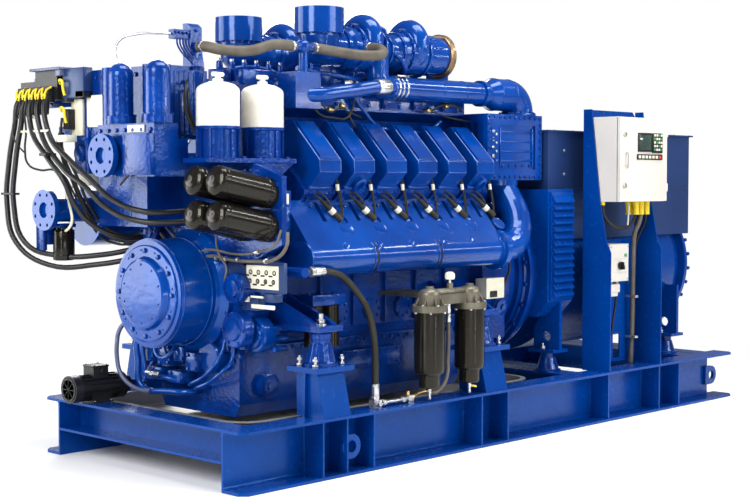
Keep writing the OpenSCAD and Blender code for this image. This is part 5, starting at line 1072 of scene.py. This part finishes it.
THIN_RUNS = (
    (0.0085, ((-2.1, 0.665, 1.665), (-2.12, 0.654, 1.598), (-2.12, 0.592, 1.521), (-2.1, 0.543, 1.418),
              (-2.04, 0.553, 1.311), (-1.98, 0.57, 1.232), (-1.92, 0.559, 1.158), (-1.87, 0.515, 1.116),
              (-1.83, 0.44, 1.107), (-1.8, 0.376, 1.134))),
    (0.0075, ((-2.1, 0.637, 1.665), (-2.12, 0.618, 1.592), (-2.12, 0.556, 1.52), (-2.1, 0.507, 1.429),
              (-2.04, 0.526, 1.326), (-1.98, 0.543, 1.253), (-1.92, 0.541, 1.185), (-1.87, 0.497, 1.148),
              (-1.83, 0.439, 1.133), (-1.8, 0.376, 1.155))),
    (0.0065, ((-2.11, 0.63, 1.741), (-2.12, 0.625, 1.69), (-2.13, 0.62, 1.618), (-2.13, 0.604, 1.536),
              (-2.12, 0.549, 1.444), (-2.06, 0.568, 1.341), (-2.0, 0.568, 1.238), (-1.93, 0.563, 1.132),
              (-1.87, 0.524, 1.095), (-1.83, 0.44, 1.091), (-1.8, 0.394, 1.107))),
    (0.0055, ((-2.185, 0.866, 1.777), (-2.2, 0.825, 1.672), (-2.2, 0.837, 1.579), (-2.19, 0.826, 1.507),
              (-2.16, 0.761, 1.475), (-2.13, 0.678, 1.475), (-2.1, 0.632, 1.444), (-2.06, 0.621, 1.372),
              (-2.02, 0.609, 1.289))),
    (0.0045, ((-2.18, 0.903, 1.758), (-2.2, 0.929, 1.732), (-2.21, 0.933, 1.679), (-2.21, 0.915, 1.627),
              (-2.21, 0.858, 1.584), (-2.2, 0.837, 1.564))))
keep([run_of_pipe(route, radius, 3) for radius, route in THIN_RUNS], "thin_cables", BLACK_RUBBER)
sockets.append(slab((-2.118, 0.425, 1.838), (-2.0605, 0.5, 1.875), 0.004))
keep(sockets, "loom_sockets", BLACK_PLASTIC)
BRACKET_X = -2.058
keep([slab((BRACKET_X, 0.28, 1.455), (-2.026, 0.6, 1.7), 0.006),
      slab((-2.066, 0.3, 1.47), (-2.056, 0.42, 1.56), 0.004),
      slab((-2.072, 0.455, 1.455), (-2.056, 0.485, 1.7), 0.004),
      slab((BRACKET_X, 0.56, 1.64), (-2.04, 0.74, 1.7), 0.004),
      turned([(0.046, 0), (0.046, 0.014), (0.038, 0.018), (0.016, 0.018)], (-2.056, 0.54, 1.56), (-1, 0, 0), 40)],
     "unit_bracket", CAST_BLUE)
keep_bolts(0.016, row_of((BRACKET_X, 0.31, 1.68), (BRACKET_X, 0.59, 1.68), 5, (-1, 0, 0))
           + row_of((BRACKET_X, 0.31, 1.59), (BRACKET_X, 0.43, 1.59), 3, (-1, 0, 0))
           + row_of((-2.066, 0.315, 1.485), (-2.066, 0.405, 1.485), 2, (-1, 0, 0)), "unit_bracket_bolts")
keep([slab((-2.15, 0.592, 1.9865), (-2.045, 0.868, 2.0), 0.003),
      slab((-2.14, 0.6, 1.955), (-2.045, 0.645, 1.9865), 0.003)], "unit_lid", LID_GREY)
keep([bar((-2.158, y, z), (-2.163, y + dy, z - 0.048), 0.0165, sides=20)
      for y, z, dy in ((0.875, 1.8, 0.002), (0.808, 1.79, -0.004), (0.742, 1.815, -0.006))]
     + [slab((-2.205, 0.625, 1.668), (-2.182, 0.905, 1.68), 0.003),
        slab((-2.19, 0.48, 1.615), (-2.12, 0.56, 1.65), 0.005),
        slab((-2.075, 0.5, 1.65), (-2.0605, 0.598, 1.835), 0.002)], "label_sleeves", IVORY_PLASTIC)
keep([slab((-2.118, 0.425, 1.838), (-2.0605, 0.612, 1.992), 0.006)], "relay_box", SLATE)
keep([slab((-2.262, 0.855, 1.346), (-2.222, 0.975, 1.358), 0.003),
      slab((-2.24, 0.585, 1.545), (-2.175, 0.645, 1.56), 0.003)], "bundle_clamps", BLACK_PLASTIC)
keep(clips, "socket_clips", SIGNAL_YELLOW)


# Priming pump: a small motor with a finned shell, a grille cowl on its fan and a lid with screws.
# A pipe runs from its far end to the valve blocks under the damper.
coat_nodes(BLACK_PLASTIC, "priming_pump")
COWL_X = -2.203
PUMP_Y, PUMP_Z = 0.46, 0.365
cowl = [rod(COWL_X, -2.199, PUMP_Y, PUMP_Z, 0.012, sides=20)]
for k in range(5):
    cowl.append(turned([(0.0605 - 0.0105 * k, 0), (0.0605 - 0.0105 * k, 0.004), (0.057 - 0.0105 * k, 0.004)],
                       (-2.199, PUMP_Y, PUMP_Z), (-1, 0, 0), 40))
for k in range(8):
    a = math.radians(45 * k)
    cowl.append(bar((COWL_X, PUMP_Y + 0.01 * math.cos(a), PUMP_Z + 0.01 * math.sin(a)),
                    (COWL_X, PUMP_Y + 0.06 * math.cos(a), PUMP_Z + 0.06 * math.sin(a)), 0.0018, edge=0, sides=8))
keep(cowl, "pump_cowl", BLACK_PLASTIC)
keep([slab((-2.084, PUMP_Y - 0.048, 0.47), (-1.986, PUMP_Y + 0.048, 0.4795), 0.003),
      bar((-2.035, PUMP_Y - 0.045, 0.452), (-2.035, PUMP_Y - 0.064, 0.452), 0.014, sides=20)], "pump_lid",
     BLACK_PLASTIC)
keep_bolts(0.01, [((-2.084 + dx, PUMP_Y + dy, 0.4795), (0, 0, 1)) for dx in (0.012, 0.086) for dy in (-0.038, 0.038)]
           + [((-2.08 + dx, PUMP_Y + dy, 0.298), (0, 0, 1)) for dx in (0, 0.1) for dy in (-0.054, 0.054)],
           "pump_screws", DULL_STEEL)
keep([run_of_pipe([(-1.842, PUMP_Y, PUMP_Z), (-1.8, PUMP_Y, PUMP_Z), (-1.75, 0.43, 0.37), (-1.742, 0.4, 0.42),
                   (-1.742, 0.345, 0.48), (-1.735, 0.3, 0.5)], 0.018, 4)], "priming_pipe", CAST_BLUE)


# Upright canisters: two small black filters hung from a cast head under the manifold.
# A rolled seam and a strap run round each, and three bolts hold the head.
coat_nodes(BLACK_GLOSS, "side_filters")
CANISTER_Y = -0.47
straps = []
for x in (-1.38, -1.27):
    straps.append(turned([(0.0495, 0), (0.0515, 0.002), (0.0515, 0.02), (0.0495, 0.022)], (x, CANISTER_Y, 0.68),
                         (0, 0, 1), 48))
    straps.append(turned([(0.0495, 0), (0.0515, 0.003), (0.0515, 0.008), (0.0495, 0.01)], (x, CANISTER_Y, 0.785),
                         (0, 0, 1), 48))
keep(straps, "canister_straps", BLACK_GLOSS)
keep([slab((-1.437, -0.527, 0.799), (-1.213, -0.35, 0.852), 0.004)], "canister_head", CAST_BLUE)
keep_bolts(0.018, [((x, CANISTER_Y, 0.852), (0, 0, 1)) for x in (-1.41, -1.325, -1.24)], "canister_bolts")


# Duplex fuel filter: two tall black bowls under a bare cast head with a change-over shaft.
# Clamp bolts hold the bowls, a white gauge stands between them, and drain cocks hang below.
BARE_CASTING = finish_coat("bare_casting", (0.17, 0.155, 0.115), (0.1, 0.09, 0.065), 0.34, 0.8, 120,
                           9, 0.1, metallic=0.6, bump=0.0012)
coat_nodes(BARE_CASTING, "prefilter_head")
coat_nodes(BLACK_GLOSS, "prefilter_bowls")
FUEL_X = (-0.845, -0.53)
FUEL_MID = sum(FUEL_X) / 2
FUEL_Y = -0.768
FUEL_LOW, FUEL_TOP = 0.425, 0.75
fuel_bolts, fuel_castings, cocks, cock_levers = [], [], [], []
for x in FUEL_X:
    fuel_bolts += ring_of((x, FUEL_Y, FUEL_TOP + 0.034), (0, 0, 1), 0.079, 6, 15)
    fuel_bolts += ring_of((x, FUEL_Y, FUEL_TOP), (0, 0, -1), 0.0855, 6, 15)
    fuel_castings.append(turned([(0.058, 0), (0.056, 0.01), (0.042, 0.024), (0.022, 0.03), (0.022, 0.04)],
                                (x, FUEL_Y, FUEL_TOP + 0.09), (0, 0, 1), 48))
    for k in range(8):
        a = math.radians(45 * k + 22)
        fuel_castings.append(bar((x + 0.08 * math.cos(a), FUEL_Y + 0.08 * math.sin(a), FUEL_TOP + 0.032),
                                 (x + 0.05 * math.cos(a), FUEL_Y + 0.05 * math.sin(a), FUEL_TOP + 0.088),
                                 0.006, edge=0, sides=8))
    cocks.append(post(x, FUEL_Y, FUEL_LOW - 0.064, FUEL_LOW - 0.096, 0.013, sides=6))
    cocks.append(post(x, FUEL_Y, FUEL_LOW - 0.094, FUEL_LOW - 0.126, 0.0085, sides=16))
    cock_levers.append(bar((x, FUEL_Y, FUEL_LOW - 0.084), (x + 0.042, FUEL_Y - 0.014, FUEL_LOW - 0.094), 0.007,
                           0.005, sides=12))
fuel_castings.append(rod(FUEL_X[0] + 0.02, FUEL_X[1] - 0.02, FUEL_Y, 0.845, 0.02, sides=28))
fuel_castings.append(post(FUEL_MID, FUEL_Y, 0.83, 0.89, 0.018, sides=6))
keep(fuel_castings, "filter_head_castings", BARE_CASTING)
keep_bolts(0.015, fuel_bolts, "filter_head_bolts", BRIGHT_STEEL)
keep(cocks, "drain_cocks", BRIGHT_STEEL)
keep(cock_levers, "drain_levers", SIGNAL_YELLOW)
keep([turned([(0.006, 0), (0.006, 0.018), (0.024, 0.022), (0.027, 0.036), (0.024, 0.052), (0.012, 0.06)],
             (FUEL_MID, FUEL_Y, 0.888), (0, 0, 1))], "filter_gauge", IVORY_PLASTIC)
DRAIN_X, DRAIN_Y = FUEL_MID - 0.028, FUEL_Y - 0.014
drain_ends = [post(DRAIN_X, DRAIN_Y, 0.79, 0.735, 0.014, sides=6),
              post(DRAIN_X, DRAIN_Y, 0.73, 0.69, 0.0145, sides=20)]
keep(drain_ends, "drain_fittings", BRIGHT_STEEL)
keep([run_of_pipe([(DRAIN_X, DRAIN_Y, 0.695), (DRAIN_X, DRAIN_Y, 0.6), (DRAIN_X - 0.006, DRAIN_Y, 0.5),
                   (DRAIN_X - 0.02, DRAIN_Y - 0.01, 0.42), (DRAIN_X - 0.055, DRAIN_Y - 0.01, 0.365),
                   (DRAIN_X - 0.1, DRAIN_Y - 0.004, 0.34), (FUEL_X[0] + 0.006, FUEL_Y - 0.002, 0.337)],
                  0.0105, 3)], "drain_hose", GREY_HOSE)


# Hoses: a khaki breather hose over the intakes in two lengths, held by bright clamps, and a rubber
# fuel hose with crimped steel ends down to a pipe along the rail.
# A steel elbow and a brass tee branch off that pipe to the filter.
KHAKI_HOSE = finish_coat("khaki_hose", (0.105, 0.088, 0.064), (0.06, 0.05, 0.036), 0.5, 0.8, 260,
                         12, 0.06)
AIR_HOSE_Z = 2.085
FUEL_DROP_X = -1.195
FUEL_PIPE_Y = -0.72
AIR_HOSES = (((-1.85, -0.16, 2.07), (-1.85, -0.2, 2.07), (-1.81, -0.29, 2.05), (-1.69, -0.36, 2.05),
              (-1.57, -0.4, AIR_HOSE_Z), (-1.44, -0.4, AIR_HOSE_Z)),
             ((-1.32, -0.4, AIR_HOSE_Z), (-1.29, -0.4, AIR_HOSE_Z), (-1.225, -0.49, 2.065), (-1.125, -0.585, 2.048),
              (-1.03, -0.61, 2.06), (-0.995, -0.56, 2.09), (-0.99, -0.505, 2.1), (-0.99, -0.47, 2.1)))
keep([run_of_pipe(route, 0.026, 6) for route in AIR_HOSES], "air_hoses", KHAKI_HOSE)
fuel_route = [(-1.63, -0.69, 0.985), (-1.52, -0.69, 0.985), (-1.41, -0.692, 0.96), (-1.32, -0.696, 0.89),
              (-1.24, -0.705, 0.79), (-1.205, -0.715, 0.67)]
fuel_route += [(FUEL_DROP_X, FUEL_PIPE_Y, z) for z in (0.54, 0.42, 0.33)]
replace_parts(keep([run_of_pipe(fuel_route, 0.017, 5)], "fuel_hose", BLACK_RUBBER), "hoses")
coat_nodes(BRIGHT_STEEL, "fuel_line")
hose_ends = [rod(-1.612, -1.585, -0.69, 0.985, 0.026, sides=6),
             rod(-1.585, -1.52, -0.69, 0.985, 0.0215, sides=28),
             post(FUEL_DROP_X, FUEL_PIPE_Y, 0.33, 0.352, 0.024, sides=6),
             post(FUEL_DROP_X, FUEL_PIPE_Y, 0.352, 0.41, 0.0205, sides=28),
             rod(-1.15, -1.12, FUEL_PIPE_Y, 0.31, 0.02, sides=6),
             rod(-1.01, -0.985, FUEL_PIPE_Y, 0.31, 0.02, sides=6),
             bar((FUEL_DROP_X, -0.735, 0.312), (FUEL_DROP_X, -0.762, 0.312), 0.016, sides=6)]
keep(hose_ends, "fuel_hose_ends", BRIGHT_STEEL)
keep([bar((-0.93, FUEL_PIPE_Y, 0.31), (-0.885, FUEL_PIPE_Y, 0.33), 0.01, sides=16),
      run_of_pipe([(-0.89, FUEL_PIPE_Y, 0.328), (-0.862, -0.74, 0.338), (-0.848, -0.762, 0.342)], 0.008, 3),
      post(-0.957, FUEL_PIPE_Y, 0.328, 0.35, 0.012, sides=6)], "brass_tee", BRASS)
hose_clamps = [bar(start, end, 0.0285, sides=36) for start, end in (
    ((-1.85, -0.188, 2.07), (-1.85, -0.2, 2.07)), ((-1.452, -0.4, AIR_HOSE_Z), (-1.464, -0.4, AIR_HOSE_Z)),
    ((-1.308, -0.4, AIR_HOSE_Z), (-1.296, -0.4, AIR_HOSE_Z)), ((-0.99, -0.476, 2.1), (-0.99, -0.488, 2.1)))]
keep(hose_clamps, "hose_clamps", BRIGHT_STEEL)


# Alternator: a blue painted frame with pressed louvres over its air inlets.
# Cap screws join the frame to the adaptor, and a white junction box is fixed low on the flywheel side.
coat_nodes(SKID_BLUE, "alternator_frame", "alternator_louvres", "alternator_feet", "alternator_end_bell")
coat_nodes(CAST_BLUE, "alternator_mounts")
FRAME_SIDE = 0.587
STUD_Y = 0.48
frame_screws = []
for side in SIDES:
    for x in (0.425, 0.62):
        frame_screws += row_of((x, side * FRAME_SIDE, 0.745), (x, side * FRAME_SIDE, 1.335), 8, (0, side, 0))
keep_bolts(0.013, frame_screws, "louvre_screws", SKID_BLUE)
keep_bolts(0.02, ring_of((2.0505, 0, CRANK_Z), (1, 0, 0), 0.468, 20)
           + ring_of((2.1055, 0, CRANK_Z), (1, 0, 0), 0.15, 8), "end_bell_bolts", SKID_BLUE)
end_rings = []
for r in (0.235, 0.275, 0.315, 0.355):
    end_rings.append(turned([(r, -0.004), (r, 0.008), (r - 0.006, 0.01), (r - 0.012, 0.008), (r - 0.012, -0.004)],
                            (2.08 - (r - 0.2) * 0.15, 0, CRANK_Z), (1, 0, 0), 80))
keep(end_rings, "end_bell_rings", SKID_BLUE)
keep([rod(2.1, 2.112, 0, CRANK_Z, 0.06, sides=40)], "end_bell_cap", SKID_BLUE)
bell_bolts = []
for k in range(32):
    a = math.radians(11.25 * k + 4)
    if math.sin(a) < 0.72:
        foot = Vector((2.07, 0.484 * math.cos(a), CRANK_Z + 0.484 * math.sin(a)))
        bell_bolts.append((foot, (0, math.cos(a), math.sin(a))))
keep_bolts(0.02, bell_bolts, "end_bell_bolts", SKID_BLUE)
foot_studs = []
for side in SIDES:
    for x in (0.53, 1.8):
        for dx in (0.048, -0.048):
            foot_studs.append(post(x + dx, side * STUD_Y, 0.423, 0.44, 0.016, sides=6))
            foot_studs.append(post(x + dx, side * STUD_Y, 0.44, 0.458, 0.008, sides=16))
keep(foot_studs, "alternator_studs", BRIGHT_STEEL)
junction = [slab((-0.095, -0.52, 0.76), (0.055, -0.44, 0.868), 0.006),
            slab((-0.099, -0.528, 0.756), (0.059, -0.518, 0.872), 0.004),
            rod(0.055, 0.085, -0.48, 0.8, 0.017, sides=24),
            rod(0.055, 0.075, -0.48, 0.84, 0.013, sides=24)]
keep(junction, "junction_box", IVORY_PLASTIC)
keep([slab((-0.07, -0.534, 0.764), (-0.01, -0.528, 0.8), 0.002)], "junction_label", BLACK_PLASTIC)
keep([run_of_pipe([(0.085, -0.48, 0.8), (0.12, -0.49, 0.85), (0.14, -0.5, 0.93), (0.11, -0.5, 0.99),
                   (0.03, -0.47, 1.0)], 0.008, 3)], "junction_lead", BLACK_RUBBER)


# Terminal box: folded steel over the alternator, with a bolted lid.
# Bare cap screws show on its end panel and sides, and seams part its panels.
coat_nodes(SLATE, "terminal_box")
LID_SIDE = 0.512
LID_SCREW_Z = 1.715
lid_screws = []
for side in SIDES:
    lid_screws += row_of((0.54, side * LID_SIDE, LID_SCREW_Z), (2.02, side * LID_SIDE, LID_SCREW_Z), 9, (0, side, 0))
keep_bolts(0.011, lid_screws, "terminal_lid_screws", SLATE)
keep_bolts(0.016, [((0.491, y, z), (-1, 0, 0)) for y in (-0.3, -0.42) for z in (1.5, 1.65)]
           + [((0.655, side * 0.5, z), (0, side, 0)) for side in SIDES for z in (1.2, 1.3, 1.46, 1.6)],
           "terminal_bolts", BRIGHT_STEEL)
box_seams = []
for side in SIDES:
    for x in (1.02, 1.52):
        box_seams.append(side_slab(side, (x, 0.4995, 1.38), (x + 0.012, 0.5035, 1.7), 0.001))
    box_seams.append(side_slab(side, (0.66, 0.4995, 1.368), (2.03, 0.5035, 1.376), 0.001))
keep(box_seams, "terminal_seams", SLATE)


# Control stand: two profiled plates joined by back plates, all welded and painted with the skid.
# Weld beads run up the joints between the plates and along their feet.
coat_nodes(SKID_BLUE, "stand_plates", "stand_back")
stand_beads = []
for x in (0.711, 0.719, 1.251, 1.259):
    stand_beads.append(run_of_pipe([(x, -0.795, 0.292), (x, -0.605, 0.292)], 0.004, 1))
for x in (0.72, 1.25):
    stand_beads.append(run_of_pipe([(x, -0.609, 1.3), (x, -0.609, 1.8)], 0.003, 1))
    stand_beads.append(run_of_pipe([(x, -0.609, 0.32), (x, -0.609, 1.05)], 0.003, 1))
keep(stand_beads, "stand_weld_beads", SKID_BLUE)


# Control cabinet: a powder coated steel box with a hinged door, a display, keys and two locks.
# A rubber seal runs round the door's edge, and a bowed handle stands between the locks.
CABINET_GREY = finish_coat("cabinet_grey", (0.63, 0.595, 0.545), (0.57, 0.54, 0.495), 0.4, 0.8, 520,
                           2.4, 0.05, bump=0.0003)
coat_nodes(CABINET_GREY, "control_cabinet", "cabinet_door")
DOOR = "cabinet_door"
DOOR_FACE = -0.85
keep([slab((0.742, DOOR_FACE - 0.0015, 1.312), (1.21, DOOR_FACE, 1.78), 0.001)], "door_panel", CABINET_GREY, DOOR)
keep([slab((0.905, DOOR_FACE - 0.012, 1.592), (1.045, DOOR_FACE - 0.0015, 1.705), 0.003),
      slab((1.055, DOOR_FACE - 0.01, 1.586), (1.165, DOOR_FACE - 0.0015, 1.705), 0.003),
      slab((0.895, DOOR_FACE - 0.009, 1.545), (1.165, DOOR_FACE - 0.0015, 1.578), 0.003)], "display_frames",
     BLACK_PLASTIC, DOOR)
DISPLAY_GREEN = finish_coat("display_green", (0.03, 0.06, 0.045), (0.015, 0.035, 0.028), 0.06, 0.0,
                            90, 9, 0.0, coat=0.8)
keep([slab((0.918, DOOR_FACE - 0.0135, 1.606), (1.032, DOOR_FACE - 0.0118, 1.692), 0.0008)], "display_glass",
     DISPLAY_GREEN, DOOR)
keys, green_keys, red_keys = [], [], []
for row in range(5):
    for column in range(4):
        x, z = 1.068 + 0.024 * column, 1.6 + 0.0215 * row
        (green_keys if (row + column) % 3 == 0 else keys).append(
            slab((x, DOOR_FACE - 0.0125, z), (x + 0.016, DOOR_FACE - 0.0098, z + 0.013), 0.001))
for column in range(7):
    x = 0.907 + 0.036 * column
    (red_keys if column == 6 else keys).append(
        slab((x, DOOR_FACE - 0.0115, 1.553), (x + 0.022, DOOR_FACE - 0.0088, 1.57), 0.001))
keep(keys, "keypad_keys", IVORY_PLASTIC, DOOR)
SIGNAL_GREEN = finish_coat("signal_green", (0.02, 0.32, 0.1), (0.01, 0.22, 0.07), 0.35, 0.1, 90, 8, 0.0)
keep(green_keys, "keypad_green_keys", SIGNAL_GREEN, DOOR)
keep(red_keys, "stop_key", SIGNAL_RED, DOOR)
locks = []
for z in (1.691, 1.391):
    locks.append(turned([(0.0165, 0), (0.0165, 0.003), (0.0145, 0.006), (0.0105, 0.006), (0.0105, 0.003)],
                        (0.769, DOOR_FACE - 0.006, z), (0, -1, 0), 36))
    locks.append(slab((0.7605, DOOR_FACE - 0.012, z - 0.0025), (0.7775, DOOR_FACE - 0.0085, z + 0.0025), 0.0008))
keep(locks, "door_locks", DULL_STEEL, DOOR)
keep([run_of_pipe([(0.787, DOOR_FACE - 0.001, 1.505), (0.787, DOOR_FACE - 0.018, 1.5),
                   (0.787, DOOR_FACE - 0.0205, 1.515), (0.787, DOOR_FACE - 0.0205, 1.57),
                   (0.787, DOOR_FACE - 0.018, 1.585), (0.787, DOOR_FACE - 0.001, 1.58)], 0.0062, 4)],
     "door_handle", DULL_STEEL, DOOR)
SEAL_Y = (-0.8335, -0.8305)
seal = [slab((x0, SEAL_Y[0], z0), (x1, SEAL_Y[1], z1), 0.001) for x0, z0, x1, z1 in (
    (0.735, 1.303, 0.74, 1.788), (1.208, 1.303, 1.213, 1.788), (0.735, 1.303, 1.213, 1.308),
    (0.735, 1.783, 1.213, 1.788))]
keep(seal, "door_seal", BLACK_RUBBER, DOOR)


# Cabinet glands and cables: yellow glands in the cabinet's floor, with a black loop and lead out of
# two of them, a conduit clipped to the stand's back plate and a pale earth wire.
GLAND_Y = -0.72
glands = []
for x in (1.09, 1.145, 1.205):
    for y in (GLAND_Y, -0.665):
        glands.append(post(x, y, 1.296, 1.27, 0.022, sides=6))
        glands.append(post(x, y, 1.27, 1.214, 0.018, sides=24))
glands.append(post(0.744, GLAND_Y, 1.296, 1.275, 0.014, sides=6))
keep(glands, "cabinet_glands", SIGNAL_YELLOW)
keep([run_of_pipe([(0.744, GLAND_Y, 1.277), (0.743, -0.725, 1.223), (0.813, -0.73, 1.163), (0.918, -0.73, 1.137),
                   (1.031, -0.725, 1.158), (1.086, GLAND_Y, 1.206)], 0.0095, 4),
      run_of_pipe([(1.2, GLAND_Y, 1.216), (1.22, -0.7, 1.166), (1.219, -0.665, 1.097), (1.214, -0.64, 1.028),
                   (1.217, -0.632, 0.916), (1.217, -0.63, 0.772), (1.219, -0.628, 0.616), (1.218, -0.625, 0.46),
                   (1.213, -0.622, 0.353), (1.211, -0.62, 0.297)], 0.0075, 3)], "cabinet_loops", BLACK_RUBBER)
keep([run_of_pipe([(1.145, GLAND_Y, 1.217), (1.14, -0.71, 1.168), (1.127, -0.69, 1.106), (1.139, -0.672, 1.038),
                   (1.153, -0.66, 0.92), (1.158, -0.655, 0.777), (1.161, -0.652, 0.621), (1.167, -0.645, 0.465),
                   (1.167, -0.64, 0.359), (1.172, -0.635, 0.296)], 0.015, 5)], "cabinet_conduit", GREY_HOSE)
keep([post(1.161, -0.675, z, z + 0.014, 0.0185, edge=0.003, sides=20) for z in (0.7, 0.45)]
     + [slab((1.149, -0.668, z), (1.173, -0.6, z + 0.014), 0.002) for z in (0.7, 0.45)], "conduit_clips",
     DULL_STEEL)
keep([run_of_pipe([(1.013, GLAND_Y, 1.279), (1.012, GLAND_Y, 1.231), (1.003, -0.722, 1.183), (0.993, -0.726, 1.147)],
                  0.005, 3)], "earth_wire", CABINET_GREY)


# Isolator: a grey plastic box with a lid held by four screws, a rotary handle and three glands.
# A gland block hangs under it, and three cables drop from the glands behind the stand's plate.
coat_nodes(CABINET_GREY, "isolator_box")
coat_nodes(BLACK_PLASTIC, "isolator_handle")
BOX_GLAND_Y = -0.665
BOX_FACE = -0.723
keep([slab((0.813, BOX_FACE - 0.004, 0.819), (1.005, BOX_FACE + 0.001, 0.866), 0.002),
      slab((0.813, BOX_FACE - 0.004, 0.951), (1.005, BOX_FACE + 0.001, 1.036), 0.002)], "isolator_lid",
     CABINET_GREY)
keep_bolts(0.008, [((x, BOX_FACE - 0.004, z), (0, -1, 0)) for x in (0.825, 0.993) for z in (0.83, 1.024)],
           "isolator_screws", DULL_STEEL)
keep([slab((0.96, BOX_FACE - 0.007, 0.962), (0.985, BOX_FACE - 0.003, 0.98), 0.001)], "isolator_mark",
     SIGNAL_GREEN)
keep([slab((0.9165, BOX_FACE - 0.0355, 0.912), (0.9215, BOX_FACE - 0.0335, 0.931), 0.0005)], "handle_mark",
     IVORY_PLASTIC, "isolator_handle")
keep([slab((0.85, -0.7, 0.745), (0.96, -0.64, 0.797), 0.006),
      slab((0.87, -0.695, 0.722), (0.945, -0.645, 0.747), 0.005)], "isolator_gland_block", CABINET_GREY)
box_glands, box_cables = [], []
for x in (0.845, 0.905, 0.965):
    box_glands.append(post(x, BOX_GLAND_Y, 0.816, 0.796, 0.018, sides=6))
    box_glands.append(post(x, BOX_GLAND_Y, 0.796, 0.78, 0.013, sides=20))
    box_cables.append(run_of_pipe([(x, BOX_GLAND_Y, 0.785), (x, BOX_GLAND_Y, 0.7), (x + 0.01, -0.64, 0.58),
                                   (x + 0.02, -0.617, 0.48), (x + 0.02, -0.604, 0.42)], 0.0075, 3))
keep(box_glands, "isolator_glands", DULL_STEEL)
keep(box_cables, "isolator_cables", BLACK_RUBBER)
